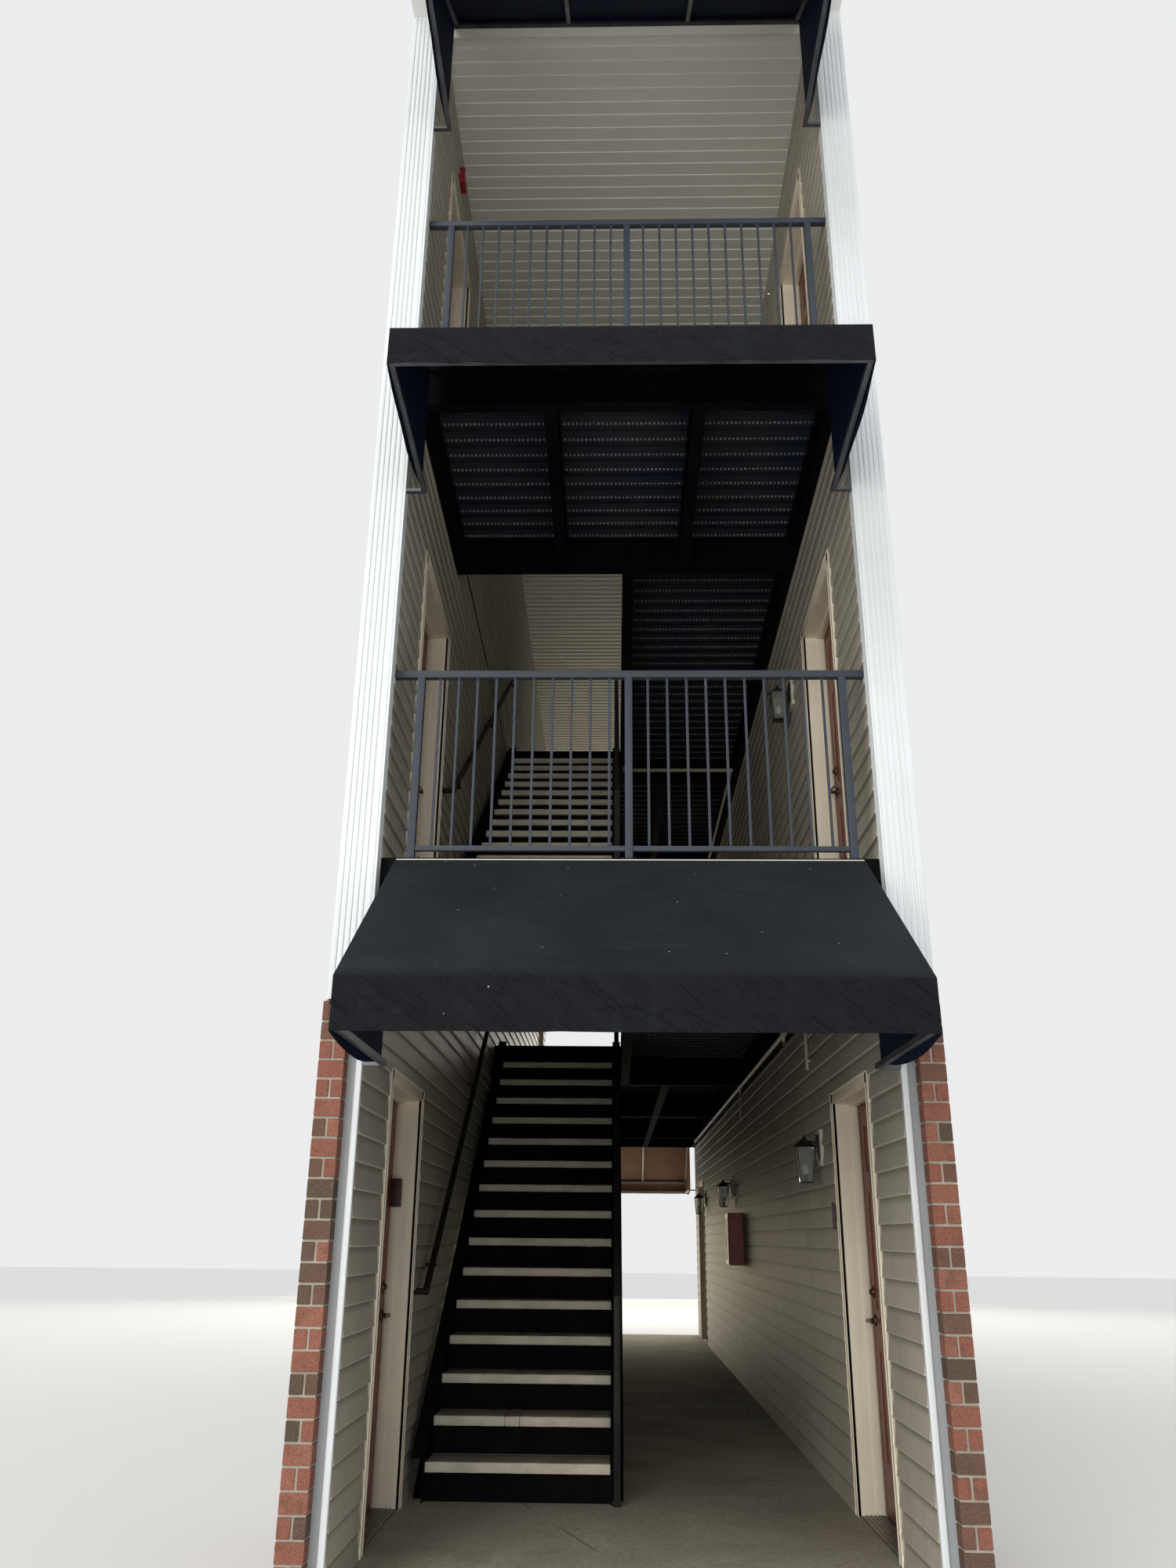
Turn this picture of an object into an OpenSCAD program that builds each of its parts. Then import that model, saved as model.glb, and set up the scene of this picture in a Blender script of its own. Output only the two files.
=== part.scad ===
// Breezeway egress stair: the open stair bay of a three-storey apartment block.
// Steel flights with concrete treads climb along the left wall of a covered passage,
// and steel decks with guards, awnings and flat doors serve each floor.
// X runs across the passage, Y from the front face to the rear face, Z is up.
// The origin is the middle of the ground footprint.

/* [Passage] */
// Clear width between the two side walls
opening_w = 2400; // [2340:10:2600]
// Depth of the building from the front face to the rear face
depth = 14000; // [12000:100:16000]
// Floor to floor height
storey = 3016; // [2800:8:3096]
// Height of the third floor from its deck to the ceiling boards
top_room_h = 2650; // [2500:10:2800]
// Height of the ground floor slab above the ground
base_h = 100; // [60:10:160]

/* [Walls] */
// Thickness of the side walls
wall_t = 170; // [150:5:220]
// Height of the brick facing above the ground floor
brick_h = 2320; // [1800:10:2700]
// How far the brick facing stands out from the wall
brick_out = 80; // [50:5:110]
// Width of the plain white strip between the opening and the brick
strip_w = 55; // [40:5:80]

/* [Doors] */
// Width of a door leaf
leaf_w = 914; // [810:1:920]
// Height of a door leaf
leaf_h = 2030; // [1980:10:2060]
// Thickness of a door leaf
leaf_t = 45; // [40:1:50]
// Distance from the face of the building to the nearer door casing
door_from_face = 690; // [600:10:760]

/* [Stair] */
// Length of one tread from nosing to nosing
tread_run = 270; // [250:1:280]
// Distance from the face of the building to the first nosing
foot_y = 1900; // [1860:10:1960]
// Clear width between the two stringers
stair_w = 1002; // [950:1:1002]
// Thickness of a concrete tread
tread_t = 50; // [40:1:60]
// Depth of a channel stringer
stringer_h = 250; // [220:5:260]

/* [Decks] */
// Thickness of the concrete on an upper floor
topping_t = 65; // [55:5:80]
// Depth of the corrugated steel pan below the concrete
pan_h = 38; // [30:1:45]
// Depth of the steel beams below the pan
beam_h = 250; // [150:10:300]

/* [Guards] */
// Height of a guard above the floor
guard_h = 1000; // [900:1:1120]
// Side of the square guard posts and rails
rail_s = 38; // [32:1:42]
// Side of the square pickets
picket_s = 13; // [12:1:16]
// Height of the stair rails above the nosings
rail_over = 860; // [820:5:900]

/* [Awnings] */
// Width of an awning
awning_w = 2220; // [2000:10:2280]
// How far an awning stands out from the building
awning_out = 1020; // [800:10:1100]
// Fall of the awning slope
awning_fall = 765; // [600:5:800]
// Height of the hanging front edge of an awning
valance_h = 205; // [150:5:250]

/* [Roof] */
// How far the eaves stand out
eave_out = 450; // [300:10:600]
// Slope of the roof in degrees
roof_slope = 18.5; // [15:0.5:22]

/* [Hidden] */
$fn = 32;

half_w = opening_w / 2;
outer_x = half_w + wall_t;
risers = 16;
riser = storey / risers;
stair_angle = atan(riser / tread_run);
storey_top = base_h + storey;
ceiling_z = base_h + 2 * storey + top_room_h;
ceiling_t = 30;
header_h = 90;

post_out = 25;
strip_out = 15;
leg_t = 12;
leg_y = 60;
leg_y_low = 10;

casing_w = 65;
casing_out = 20;
jamb_t = 20;
casing_reveal = 5;
hinge_gap = 5;
latch_gap = 8;
sill_gap = 15;
jamb_y0 = door_from_face + casing_w + casing_reveal;
leaf_y0 = jamb_y0 + hinge_gap;
jamb_y1 = leaf_y0 + leaf_w + latch_gap;
rough_y0 = jamb_y0 - jamb_t;
rough_y1 = jamb_y1 + jamb_t;
jamb_top = sill_gap + leaf_h + hinge_gap;
rough_top = jamb_top + jamb_t;
hinge_x = outer_x + 12;
hinge_y = jamb_y0 + hinge_gap / 2;
hinge_z = [250, 1050, 1830];

stringer_w = 70;
stair_gap = 40;
left_nosing_x = stair_gap + stringer_w - half_w;
right_nosing_x = left_nosing_x + stair_w;
stringer_web = 8;
stringer_flange = 10;
stringer_over = 40;
stringer_drop = stringer_h / cos(stair_angle) - stringer_over;
nose = 25;
chamfer = 5;
riser_t = 5;
void_y0 = foot_y - 20;
void_y1 = foot_y + (risers - 1) * tread_run;
void_x1 = right_nosing_x + stringer_w + 6;
beam_w = 75;
beam_web = 8;
beam_flange = 10;
joist_x = [-435, 410];
edge_t = 8;
deck_drop = topping_t + pan_h;
deck_y0 = leg_y;
deck_y1 = depth - leg_y;
cross_beam_y = [deck_y0 + beam_w / 2, void_y0 - beam_w / 2, void_y1 + beam_w / 2,
  (void_y1 + depth - void_y0) / 2, depth - void_y0 + beam_w / 2, deck_y1 - beam_w / 2];
rib_n = floor((deck_y1 - deck_y0) / 152);
rib_pitch = (deck_y1 - deck_y0 - 2 * edge_t) / rib_n;
sheet_t = 3;

guard_in = 80;
guard_post_x = [148 - half_w, 0, half_w - 124];
stair_guard_y = void_y0 - 30;
stair_guard_x = void_x1 + 10 + rail_s / 2;
picket_gap = 97;
low_rail_s = 25;
low_rail_up = 40;

cloth_t = 5;
tube_s = 25;
awning_drop = 30;
rafter_x = [-380, 380];

roof_t = 180;
heel_h = 160;
roof_z0 = ceiling_z + ceiling_t + heel_h;
eave_z = roof_z0 - tan(roof_slope) * eave_out;
ridge_z = roof_z0 + tan(roof_slope) * depth / 2;

function floor_z(level) = base_h + (level - 1) * storey;
function nosing_z(y) = riser + (y - foot_y) * riser / tread_run;

// Moves the plan from the front face to the middle of the footprint
module place() translate([0, -depth / 2, 0]) children();
module at_rear() translate([0, depth, 0]) mirror([0, 1, 0]) children();
module on_left() mirror([1, 0, 0]) children();
module both_sides() { children(); on_left() children(); }
module both_ends() { children(); at_rear() children(); }
module on_floor(level) translate([0, 0, floor_z(level)]) children();
module under_deck(level) translate([0, 0, level < 3 ? floor_z(level + 1) : ceiling_z]) children();
// A block between two corners
module block(low, high) translate(low) cube(high - low);
// A side view drawn as [y, z] points and extruded from x0 to x1
module side_profile(points, x0, x1)
  translate([x0, 0, 0]) rotate([90, 0, 90]) linear_extrude(x1 - x0) polygon(points);

// Ground floor
module ground_slab() color("darkgray") place() union() {
  block([-half_w, 0, 0], [half_w, depth, base_h]);
  both_ends() block([-outer_x, rough_y0, 0], [outer_x, rough_y1, base_h]);
}

// Side walls, drawn for the right side
module door_hole(level)
  block([half_w - 1, rough_y0, floor_z(level)], [outer_x + 1, rough_y1, floor_z(level) + rough_top]);
module front_pier() color("tan") place()
  block([half_w, 0, 0], [outer_x, rough_y0, storey_top]);
module door_head() color("tan") place()
  block([half_w, rough_y0, base_h + rough_top], [outer_x, rough_y1, storey_top]);
module ground_wall() color("tan") place() difference() {
  block([half_w, rough_y1, 0], [outer_x, depth, storey_top]);
  at_rear() block([half_w - 1, rough_y0, base_h], [outer_x + 1, rough_y1, base_h + rough_top]);
  at_rear() block([half_w - 1, rough_y0, -1], [outer_x + 1, rough_y1, base_h]);
}
module upper_wall() color("tan") place() difference() {
  side_profile([[0, storey_top], [depth, storey_top], [depth, roof_z0],
    [depth / 2, ridge_z], [0, roof_z0]], half_w, outer_x);
  for (level = [2, 3]) both_ends() door_hole(level);
}

// Brick beside the opening at the ground floor, with a sloped top course
module brick_facings() color("firebrick") place() both_ends() both_sides()
  side_profile([[-brick_out, 0], [0, 0], [0, base_h + brick_h],
    [-brick_out, base_h + brick_h - 20]], half_w + strip_w, outer_x);

// Fluted post over the brick, a plain strip below it, and a leg that turns into the passage
module corner_leg(low, high, out, inward)
  block([half_w - leg_t, -out, low], [half_w, inward, high]);
module corner_post() {
  flute_n = 4;
  flute_gap = wall_t / (flute_n + 0.5);
  difference() {
    block([half_w, -post_out, base_h + brick_h], [outer_x, 0, ceiling_z]);
    for (i = [0 : flute_n - 1])
      translate([half_w + (i + 0.75) * flute_gap, -post_out - 5, base_h + brick_h + 1])
        cylinder(h = ceiling_z, r = 14);
  }
  block([half_w, -strip_out, 0], [half_w + strip_w, 0, base_h + brick_h]);
  corner_leg(base_h, base_h + brick_h, strip_out, leg_y_low);
  corner_leg(base_h + brick_h, ceiling_z - header_h, post_out, leg_y);
}
module front_corner_posts() color("white") place() both_sides() corner_post();
module rear_corner_posts() color("white") place() at_rear() both_sides() corner_post();

// Doors, drawn for the right side at the front
module door_frame() {
  head = [jamb_y0 - casing_w - casing_reveal, jamb_y1 + casing_w + casing_reveal];
  union() {
    for (y = [rough_y0, jamb_y1]) block([half_w, y, 0], [outer_x, y + jamb_t, rough_top]);
    block([half_w, rough_y0, jamb_top], [outer_x, rough_y1, rough_top]);
    block([half_w, rough_y0, 0], [outer_x, rough_y1, 8]);
    for (y = [head[0], head[1] - casing_w])
      block([half_w - casing_out, y, 0], [half_w, y + casing_w, jamb_top + casing_w + casing_reveal]);
    block([half_w - casing_out, head[0], jamb_top + casing_reveal],
      [half_w, head[1], jamb_top + casing_w + casing_reveal]);
    stop_x = outer_x - leaf_t - 5;
    for (y = [jamb_y0, jamb_y1 - 12])
      block([stop_x - 40, y, 0], [stop_x, y + 12, jamb_top]);
    block([stop_x - 40, jamb_y0, jamb_top - 12], [stop_x, jamb_y1, jamb_top]);
  }
}
module door_leaf() {
  stile = 115;
  rail_z = [240, 770, 960, 1560, 1660, leaf_h - 120];
  panel_w = (leaf_w - 3 * stile) / 2;
  groove = 22;
  sink = 7;
  difference() {
    block([outer_x - leaf_t, leaf_y0, sill_gap], [outer_x, leaf_y0 + leaf_w, sill_gap + leaf_h]);
    for (column = [0, 1], row = [0, 2, 4], face = [outer_x - leaf_t - 1, outer_x - sink])
      translate([face, leaf_y0 + stile + column * (panel_w + stile), sill_gap + rail_z[row]])
        difference() {
          cube([sink + 1, panel_w, rail_z[row + 1] - rail_z[row]]);
          translate([-1, groove, groove])
            cube([sink + 3, panel_w - 2 * groove, rail_z[row + 1] - rail_z[row] - 2 * groove]);
        }
  }
}
// Deadbolt, lever and rose on both faces, and three hinge barrels
module door_lock() {
  lock_y = leaf_y0 + leaf_w - 65;
  for (z = [925, 1065]) translate([0, lock_y, z]) rotate([0, 90, 0]) {
    translate([0, 0, outer_x]) cylinder(h = 9, r = 32);
    translate([0, 0, outer_x - leaf_t - 9]) cylinder(h = 9, r = 32);
  }
  translate([outer_x - leaf_t - 24, lock_y, 1065]) rotate([0, 90, 0]) cylinder(h = 15, r = 22);
  translate([outer_x + 9, lock_y, 1065]) rotate([0, 90, 0]) cylinder(h = 8, r = 22);
  for (x = [outer_x - leaf_t - 55, outer_x + 9]) {
    translate([x, lock_y, 925]) rotate([0, 90, 0]) cylinder(h = 46, r = 10);
  }
  for (x = [outer_x - leaf_t - 48, outer_x + 48])
    translate([x, lock_y, 925]) rotate([90, 0, 0]) cylinder(h = 110, r = 8);
  for (z = hinge_z) {
    translate([hinge_x, hinge_y, z]) cylinder(h = 100, r = 6.5);
    block([outer_x, leaf_y0, z], [outer_x + 3, leaf_y0 + 38, z + 100]);
    block([outer_x, leaf_y0, z], [hinge_x, leaf_y0 + 3, z + 100]);
  }
}
module door_frames() color("antiquewhite") place()
  for (level = [1 : 3]) on_floor(level) both_ends() door_frame();
module moving_door() color("maroon") place() on_floor(1) door_leaf();
module moving_lock() color("dimgray") place() on_floor(1) door_lock();
module fixed_doors() color("maroon") place() union() {
  for (level = [2, 3]) on_floor(level) both_ends() door_leaf();
  on_floor(1) at_rear() door_leaf();
}

// Upper floors: concrete on a corrugated pan, carried by rolled beams
module stair_void(low, high, margin)
  block([-half_w - 1, void_y0 - margin, low], [void_x1 + margin, void_y1 + margin, high]);
module floor_slab(level) color("gray") place() on_floor(level) difference() {
  block([-half_w, deck_y0 + edge_t, -topping_t], [half_w, deck_y1 - edge_t, 0]);
  stair_void(-topping_t - 1, 1, edge_t);
}
// Bends of the pan as [share of a rib, height], and the line they draw along the deck
rib_bends = [[0.02, 0], [0.38, sheet_t - pan_h], [0.52, sheet_t - pan_h], [0.88, 0]];
rib_line = [for (i = [0 : rib_n - 1], bend = rib_bends)
  [deck_y0 + edge_t + (i + bend[0]) * rib_pitch, bend[1]]];
under_line = [for (i = [1 : len(rib_line)]) rib_line[len(rib_line) - i] - [0, sheet_t]];
module floor_pan(level) color("black") place() on_floor(level) translate([0, 0, -topping_t])
  difference() {
    side_profile(concat(rib_line, under_line), -half_w + 2, half_w - 2);
    stair_void(-pan_h - 1, 1, edge_t);
  }
// A rolled section centred on x = 0 with its top at z = 0, running along +Y
module beam(length) translate([0, length, 0]) rotate([90, 0, 0]) linear_extrude(length) union() {
  translate([-beam_w / 2, -beam_flange]) square([beam_w, beam_flange]);
  translate([-beam_w / 2, -beam_h]) square([beam_w, beam_flange]);
  translate([-beam_web / 2, -beam_h]) square([beam_web, beam_h]);
}
module cross_beam(y) translate([-half_w, y, 0]) rotate([0, 0, -90]) beam(opening_w);
// Steel plate that closes the edges of the concrete, along both faces and round the stair void
module edge_plates() {
  for (y = [deck_y0, deck_y1 - edge_t]) block([-half_w, y, -deck_drop], [half_w, y + edge_t, 0]);
  difference() {
    stair_void(-deck_drop, 0, edge_t);
    stair_void(-deck_drop - 1, 1, 0);
    block([-half_w - 2, deck_y0, -deck_drop - 1], [-half_w, deck_y1, 1]);
  }
}
module floor_beams(level) color("black") place() on_floor(level) union() {
  edge_plates();
  translate([0, 0, -deck_drop]) {
    for (y = cross_beam_y) cross_beam(y);
    for (x = concat(joist_x, [beam_w / 2 - half_w, half_w - beam_w / 2])) {
      translate([x, deck_y0, 0]) beam(void_y0 - deck_y0);
      translate([x, void_y1, 0]) beam(deck_y1 - void_y1);
    }
    for (x = [half_w - beam_w / 2, void_x1 + beam_w / 2])
      translate([x, void_y0 - beam_w, 0]) beam(void_y1 - void_y0 + 2 * beam_w);
  }
}

// Flights: channel stringers, closed steel risers and precast treads
// A strip of stringer between two offsets from the nosing line, cut off at the floor
// where the flight stands on the slab
module stringer_band(low, high, x0, x1, on_slab) {
  function start_of(offset) =
    on_slab ? max(void_y0, foot_y - (riser + offset) * tread_run / riser) : void_y0;
  low_y = start_of(low);
  high_y = start_of(high);
  corner = low_y > void_y0 && high_y == void_y0 ? [[void_y0, 0]] : [];
  side_profile(concat(corner, [[low_y, nosing_z(low_y) + low], [void_y1, nosing_z(void_y1) + low],
    [void_y1, nosing_z(void_y1) + high], [high_y, nosing_z(high_y) + high]]), x0, x1);
}
module flight_steel(on_slab) union() {
  for (side = [0, 1]) {
    x0 = side == 0 ? left_nosing_x - stringer_web : right_nosing_x;
    f0 = side == 0 ? left_nosing_x - stringer_w : right_nosing_x;
    stringer_band(-stringer_drop, stringer_over, x0, x0 + stringer_web, on_slab);
    stringer_band(stringer_over - stringer_flange, stringer_over, f0, f0 + stringer_w, on_slab);
    stringer_band(-stringer_drop, stringer_flange - stringer_drop, f0, f0 + stringer_w, on_slab);
  }
  for (k = [1 : risers]) {
    y = k < risers ? foot_y + (k - 1) * tread_run + nose : void_y1 - riser_t;
    low = k == 1 ? (on_slab ? 0 : -topping_t) : (k - 1) * riser - tread_t;
    high = k < risers ? k * riser - tread_t : storey;
    block([left_nosing_x, y, low], [right_nosing_x, y + riser_t, high]);
  }
}
module flight_treads() for (k = [1 : risers - 1]) {
  y = foot_y + (k - 1) * tread_run;
  back = k < risers - 1 ? y + tread_run + nose : void_y1 - riser_t;
  bottom = k * riser - tread_t;
  side_profile([[y + chamfer, bottom], [back, bottom], [back, k * riser], [y + chamfer, k * riser],
    [y, k * riser - chamfer], [y, bottom + chamfer]], left_nosing_x, right_nosing_x);
}

// Guards of square tube with pickets
module picket_row(y0, y1, low, high) {
  n = max(1, round((y1 - y0) / picket_gap));
  gap = (y1 - y0) / n;
  for (i = [1 : n - 1])
    translate([0, y0 + i * gap, 0])
      block([-picket_s / 2, -picket_s / 2, low], [picket_s / 2, picket_s / 2, high]);
}
// A straight guard along +Y with posts at the listed places
module guard_run(posts, rail_y0, rail_y1) union() {
  last = len(posts) - 1;
  low_top = low_rail_up + low_rail_s;
  rail_low = guard_h - rail_s;
  block([-rail_s / 2, rail_y0, rail_low], [rail_s / 2, rail_y1, guard_h]);
  block([-low_rail_s / 2, posts[0], low_rail_up], [low_rail_s / 2, posts[last], low_top]);
  for (y = posts) block([-rail_s / 2, y - rail_s / 2, 0], [rail_s / 2, y + rail_s / 2, rail_low]);
  for (i = [0 : last - 1]) picket_row(posts[i], posts[i + 1], low_top, rail_low);
}
// The same guard turned to run across the passage
module guard_across(y, posts, rail_x0, rail_x1)
  translate([0, y, 0]) rotate([0, 0, -90]) guard_run(posts, rail_x0, rail_x1);
module front_guard() guard_across(guard_in, guard_post_x, -half_w, half_w);
module guards() color("black") place() for (level = [2, 3]) on_floor(level) children();
module stair_guard_side() translate([stair_guard_x, 0, 0])
  guard_run([stair_guard_y, (void_y0 + void_y1) / 2, void_y1 - 20],
    stair_guard_y - rail_s / 2, void_y1 - 20 + rail_s / 2);
module second_floor_stair_guard() color("black") place() on_floor(2) stair_guard_side();
module third_floor_stair_guard() color("black") place() on_floor(3) union() {
  stair_guard_side();
  guard_across(stair_guard_y, [60 - half_w, (stair_guard_x - half_w) / 2, stair_guard_x],
    -half_w, stair_guard_x + rail_s / 2);
}
// A rail of a flight guard between two heights over the nosing line
module sloped_rail(y0, y1, low, high, width) translate([right_nosing_x + stringer_w / 2, 0, 0])
  side_profile([[y0, nosing_z(y0) + low], [y1, nosing_z(y1) + low],
    [y1, nosing_z(y1) + high], [y0, nosing_z(y0) + high]], -width / 2, width / 2);
// Guard on the open side of a flight, with its newel on the floor and its other posts on the flange
module flight_guard() {
  newel_y = void_y0 - rail_s / 2;
  top_y = void_y1 - 60;
  low_rail = [90, 120];
  picket_n = round((top_y - newel_y) / picket_gap);
  union() {
    sloped_rail(newel_y, top_y, rail_over - rail_s / cos(stair_angle), rail_over, rail_s);
    sloped_rail(newel_y, top_y, low_rail[0], low_rail[1], low_rail_s);
    translate([right_nosing_x + stringer_w / 2, newel_y, 0])
      block([-rail_s / 2, -rail_s / 2, 0], [rail_s / 2, rail_s / 2, nosing_z(newel_y) + rail_over]);
    for (y = [(newel_y + top_y) / 2, top_y])
      sloped_rail(y - rail_s / 2, y + rail_s / 2, stringer_over, rail_over, rail_s);
    for (i = [1 : picket_n - 1]) {
      y = newel_y + i * (top_y - newel_y) / picket_n;
      sloped_rail(y - picket_s / 2, y + picket_s / 2, low_rail[0] + 10, rail_over - 30, picket_s);
    }
  }
}
// Pipe rail on brackets along the left wall, with elbows where its ends turn into the wall
module wall_rail() {
  rail_r = 19;
  elbow_r = 21;
  out = 70;
  bracket_r = 7;
  bracket_drop = 75;
  low_y = foot_y - 20;
  top_y = void_y1 + 120;
  function rail_z(y) = nosing_z(y) + rail_over;
  translate([out - half_w, low_y, rail_z(low_y)]) rotate([stair_angle - 90, 0, 0])
    cylinder(h = (top_y - low_y) / cos(stair_angle), r = rail_r);
  for (y = [low_y, top_y]) translate([-half_w, y, rail_z(y)]) {
    translate([out, 0, 0]) sphere(r = elbow_r);
    rotate([0, 90, 0]) cylinder(h = out, r = rail_r - 2);
    rotate([0, 90, 0]) cylinder(h = 6, r = 2 * rail_r);
  }
  for (y = [low_y + 300, (low_y + top_y) / 2, top_y - 300])
    translate([-half_w, y, rail_z(y) - bracket_drop]) {
      translate([out, 0, 0]) cylinder(h = bracket_drop - 5, r = bracket_r);
      rotate([0, 90, 0]) cylinder(h = out + bracket_r + 2, r = bracket_r + 2);
      rotate([0, 90, 0]) cylinder(h = 6, r = 32);
    }
}
module wall_handrails() color("black") place() for (level = [1, 2]) on_floor(level) wall_rail();

// Awnings: a cloth shell over a welded frame, drawn at the front below a deck edge
top_z = -awning_drop;
knee_z = top_z - awning_fall;
hem_z = knee_z - valance_h;
module awning_shape(inset, x) {
  bulge_n = 6;
  hem = [for (i = [0 : bulge_n]) let (t = i / bulge_n)
    [-awning_out * (1 - t), hem_z + 35 * t - 45 * sin(180 * t)]];
  back = inset > 0 ? 1 : 0;
  slope_drop = inset / cos(atan(awning_fall / awning_out));
  side_profile(concat([[back, top_z - slope_drop + back * awning_fall / awning_out],
    [-awning_out + inset, knee_z - slope_drop + inset * awning_fall / awning_out]], inset > 0 ?
    [[-awning_out + inset, hem_z - 80], [back, hem_z - 80]] : hem), -x, x);
}
module awning() difference() {
  awning_shape(0, awning_w / 2);
  awning_shape(cloth_t, awning_w / 2 - cloth_t);
}
module awning_frame(level) {
  inside = cloth_t;
  pitch = atan(awning_fall / awning_out);
  drop = inside / cos(pitch);
  tall = tube_s / cos(pitch);
  function under(y) = top_z + y * awning_fall / awning_out - drop;
  front = -awning_out + inside;
  end_x = awning_w / 2 - inside;
  union() {
    for (x = [-end_x, rafter_x[0], rafter_x[1], end_x - tube_s])
      side_profile([[0, under(0)], [front, under(front)],
        [front, under(front) - tall], [0, under(0) - tall]], x, x + tube_s);
    block([-end_x, -tube_s, under(0) - 2 * tube_s], [end_x, 0, under(0) - tall + 4]);
    block([-end_x, front, under(front) - 60], [end_x, front + tube_s, under(front) - 20]);
    block([-end_x, front, hem_z + 10], [end_x, front + tube_s, hem_z + 10 + tube_s]);
    if (level < 3) for (x = rafter_x)
      block([x, -tube_s, under(0) - tall - 10], [x + tube_s, deck_y0, under(0) - tall + 4]);
    for (x = [-end_x, end_x - tube_s]) {
      block([x, front, hem_z + 10], [x + tube_s, front + tube_s, under(front) - 20]);
      block([x, front, hem_z + 10], [x + tube_s, 0, hem_z + 10 + tube_s]);
    }
    both_sides() block([end_x - tube_s, -tube_s, hem_z + 10], [half_w - leg_t, 0, hem_z + 28]);
  }
}
module awnings_at(levels) color("black") place() for (level = levels) under_deck(level) awning();
module awning_frames() color("silver") place()
  for (level = [1 : 3]) under_deck(level) awning_frame(level);

// Roof over the bay
module ceiling() color("wheat") place() union() {
  block([-half_w, 0, ceiling_z], [half_w, depth, ceiling_z + ceiling_t]);
  both_ends() block([-half_w, 0, ceiling_z - header_h], [half_w, 60, ceiling_z + ceiling_t]);
}
module roof_slopes() color("dimgray") place()
  side_profile([[-eave_out, eave_z], [depth / 2, ridge_z], [depth + eave_out, eave_z],
    [depth + eave_out, eave_z + roof_t], [depth / 2, ridge_z + roof_t],
    [-eave_out, eave_z + roof_t]], -outer_x, outer_x);
module eaves() color("white") place() both_ends()
  side_profile([[-eave_out, eave_z], [-eave_out, ceiling_z + 10], [-eave_out + 20, ceiling_z],
    [0, ceiling_z], [0, roof_z0]], -outer_x, outer_x);

// Fittings on the walls
module lantern(y, z) translate([half_w, y, z]) {
  block([-12, -55, -90], [0, 55, 110]);
  block([-110, -8, 10], [-12, 8, 26]);
  block([-165, -55, -190], [-55, 55, 10]);
  translate([-110, 0, 10]) cylinder(h = 45, r1 = 78, r2 = 20);
}
module passage_lights() color("silver") place() {
  on_floor(1) for (y = [2210, 7970, 11850]) lantern(y, 1840);
  on_floor(2) lantern(2300, 1920);
}
module extinguisher_cabinet() color("crimson") place() on_floor(1)
  block([half_w - 150, 7050, 1090], [half_w, 7330, 1570]);
// Water pipes under the decks, each hung from the cross beams
pipe_r = 17;
pipe_x = half_w - 120;
hanger_top = storey - deck_drop - beam_h;
pipe_z = hanger_top - 37;
module long_pipe(y0, hung) {
  translate([pipe_x, y0, pipe_z]) rotate([-90, 0, 0]) cylinder(h = depth - void_y0 + 80 - y0, r = pipe_r);
  for (y = hung) block([pipe_x - 4, y - 12, pipe_z], [pipe_x + 4, y + 12, hanger_top]);
}
module sprinkler_pipes() color("beige") place() {
  turn_y = 5500;
  drop_x = void_x1 + beam_w / 2;
  on_floor(1) long_pipe(void_y0 - 80, [for (i = [1 : 4]) cross_beam_y[i]]);
  on_floor(2) {
    long_pipe(turn_y, [for (i = [2 : 4]) cross_beam_y[i]]);
    for (x = [drop_x, pipe_x]) translate([x, turn_y, pipe_z]) sphere(r = pipe_r + 4);
    translate([drop_x, turn_y, pipe_z]) {
      rotate([0, 90, 0]) cylinder(h = pipe_x - drop_x, r = pipe_r);
      cylinder(h = hanger_top - pipe_z, r = pipe_r);
    }
  }
}

ground_slab();
on_left() front_pier();  // left_front_pier
on_left() door_head();  // left_door_head
on_left() ground_wall();  // left_ground_wall
on_left() upper_wall();  // left_upper_wall
front_pier();  // right_front_pier
door_head();  // right_door_head
ground_wall();  // right_ground_wall
upper_wall();  // right_upper_wall
brick_facings();
front_corner_posts();
rear_corner_posts();
on_left() door_frames();  // left_door_frames
door_frames();  // right_door_frames
on_left() moving_door();  // left_door
moving_door();  // right_door
on_left() moving_lock();  // left_door_lock
moving_lock();  // right_door_lock
on_left() fixed_doors();  // left_fixed_doors
fixed_doors();  // right_fixed_doors
floor_slab(2);  // second_floor_slab
floor_slab(3);  // third_floor_slab
floor_pan(2);  // second_floor_pan
floor_pan(3);  // third_floor_pan
floor_beams(2);  // second_floor_beams
floor_beams(3);  // third_floor_beams
color("black") place() on_floor(1) flight_steel(true);  // lower_flight_steel
color("black") place() on_floor(2) flight_steel(false);  // upper_flight_steel
color("lightgray") place() on_floor(1) flight_treads();  // lower_flight_treads
color("lightgray") place() on_floor(2) flight_treads();  // upper_flight_treads
color("black") place() on_floor(1) flight_guard();  // lower_flight_guard
color("black") place() on_floor(2) flight_guard();  // upper_flight_guard
wall_handrails();
guards() front_guard();  // front_guards
guards() at_rear() front_guard();  // rear_guards
second_floor_stair_guard();
third_floor_stair_guard();
awnings_at([1]);  // front_ground_awning
awnings_at([2]);  // front_second_awning
awnings_at([3]);  // front_third_awning
mirror([0, 1, 0]) awnings_at([1, 2, 3]);  // rear_awnings
awning_frames();  // front_awning_frames
mirror([0, 1, 0]) awning_frames();  // rear_awning_frames
ceiling();
roof_slopes();
eaves();
passage_lights();
extinguisher_cabinet();
sprinkler_pipes();
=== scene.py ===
# Looks of the open stair bay: siding, brick, trim, doors, awnings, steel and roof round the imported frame
import math
import random

import bpy
from mathutils import Matrix, Vector


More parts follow.
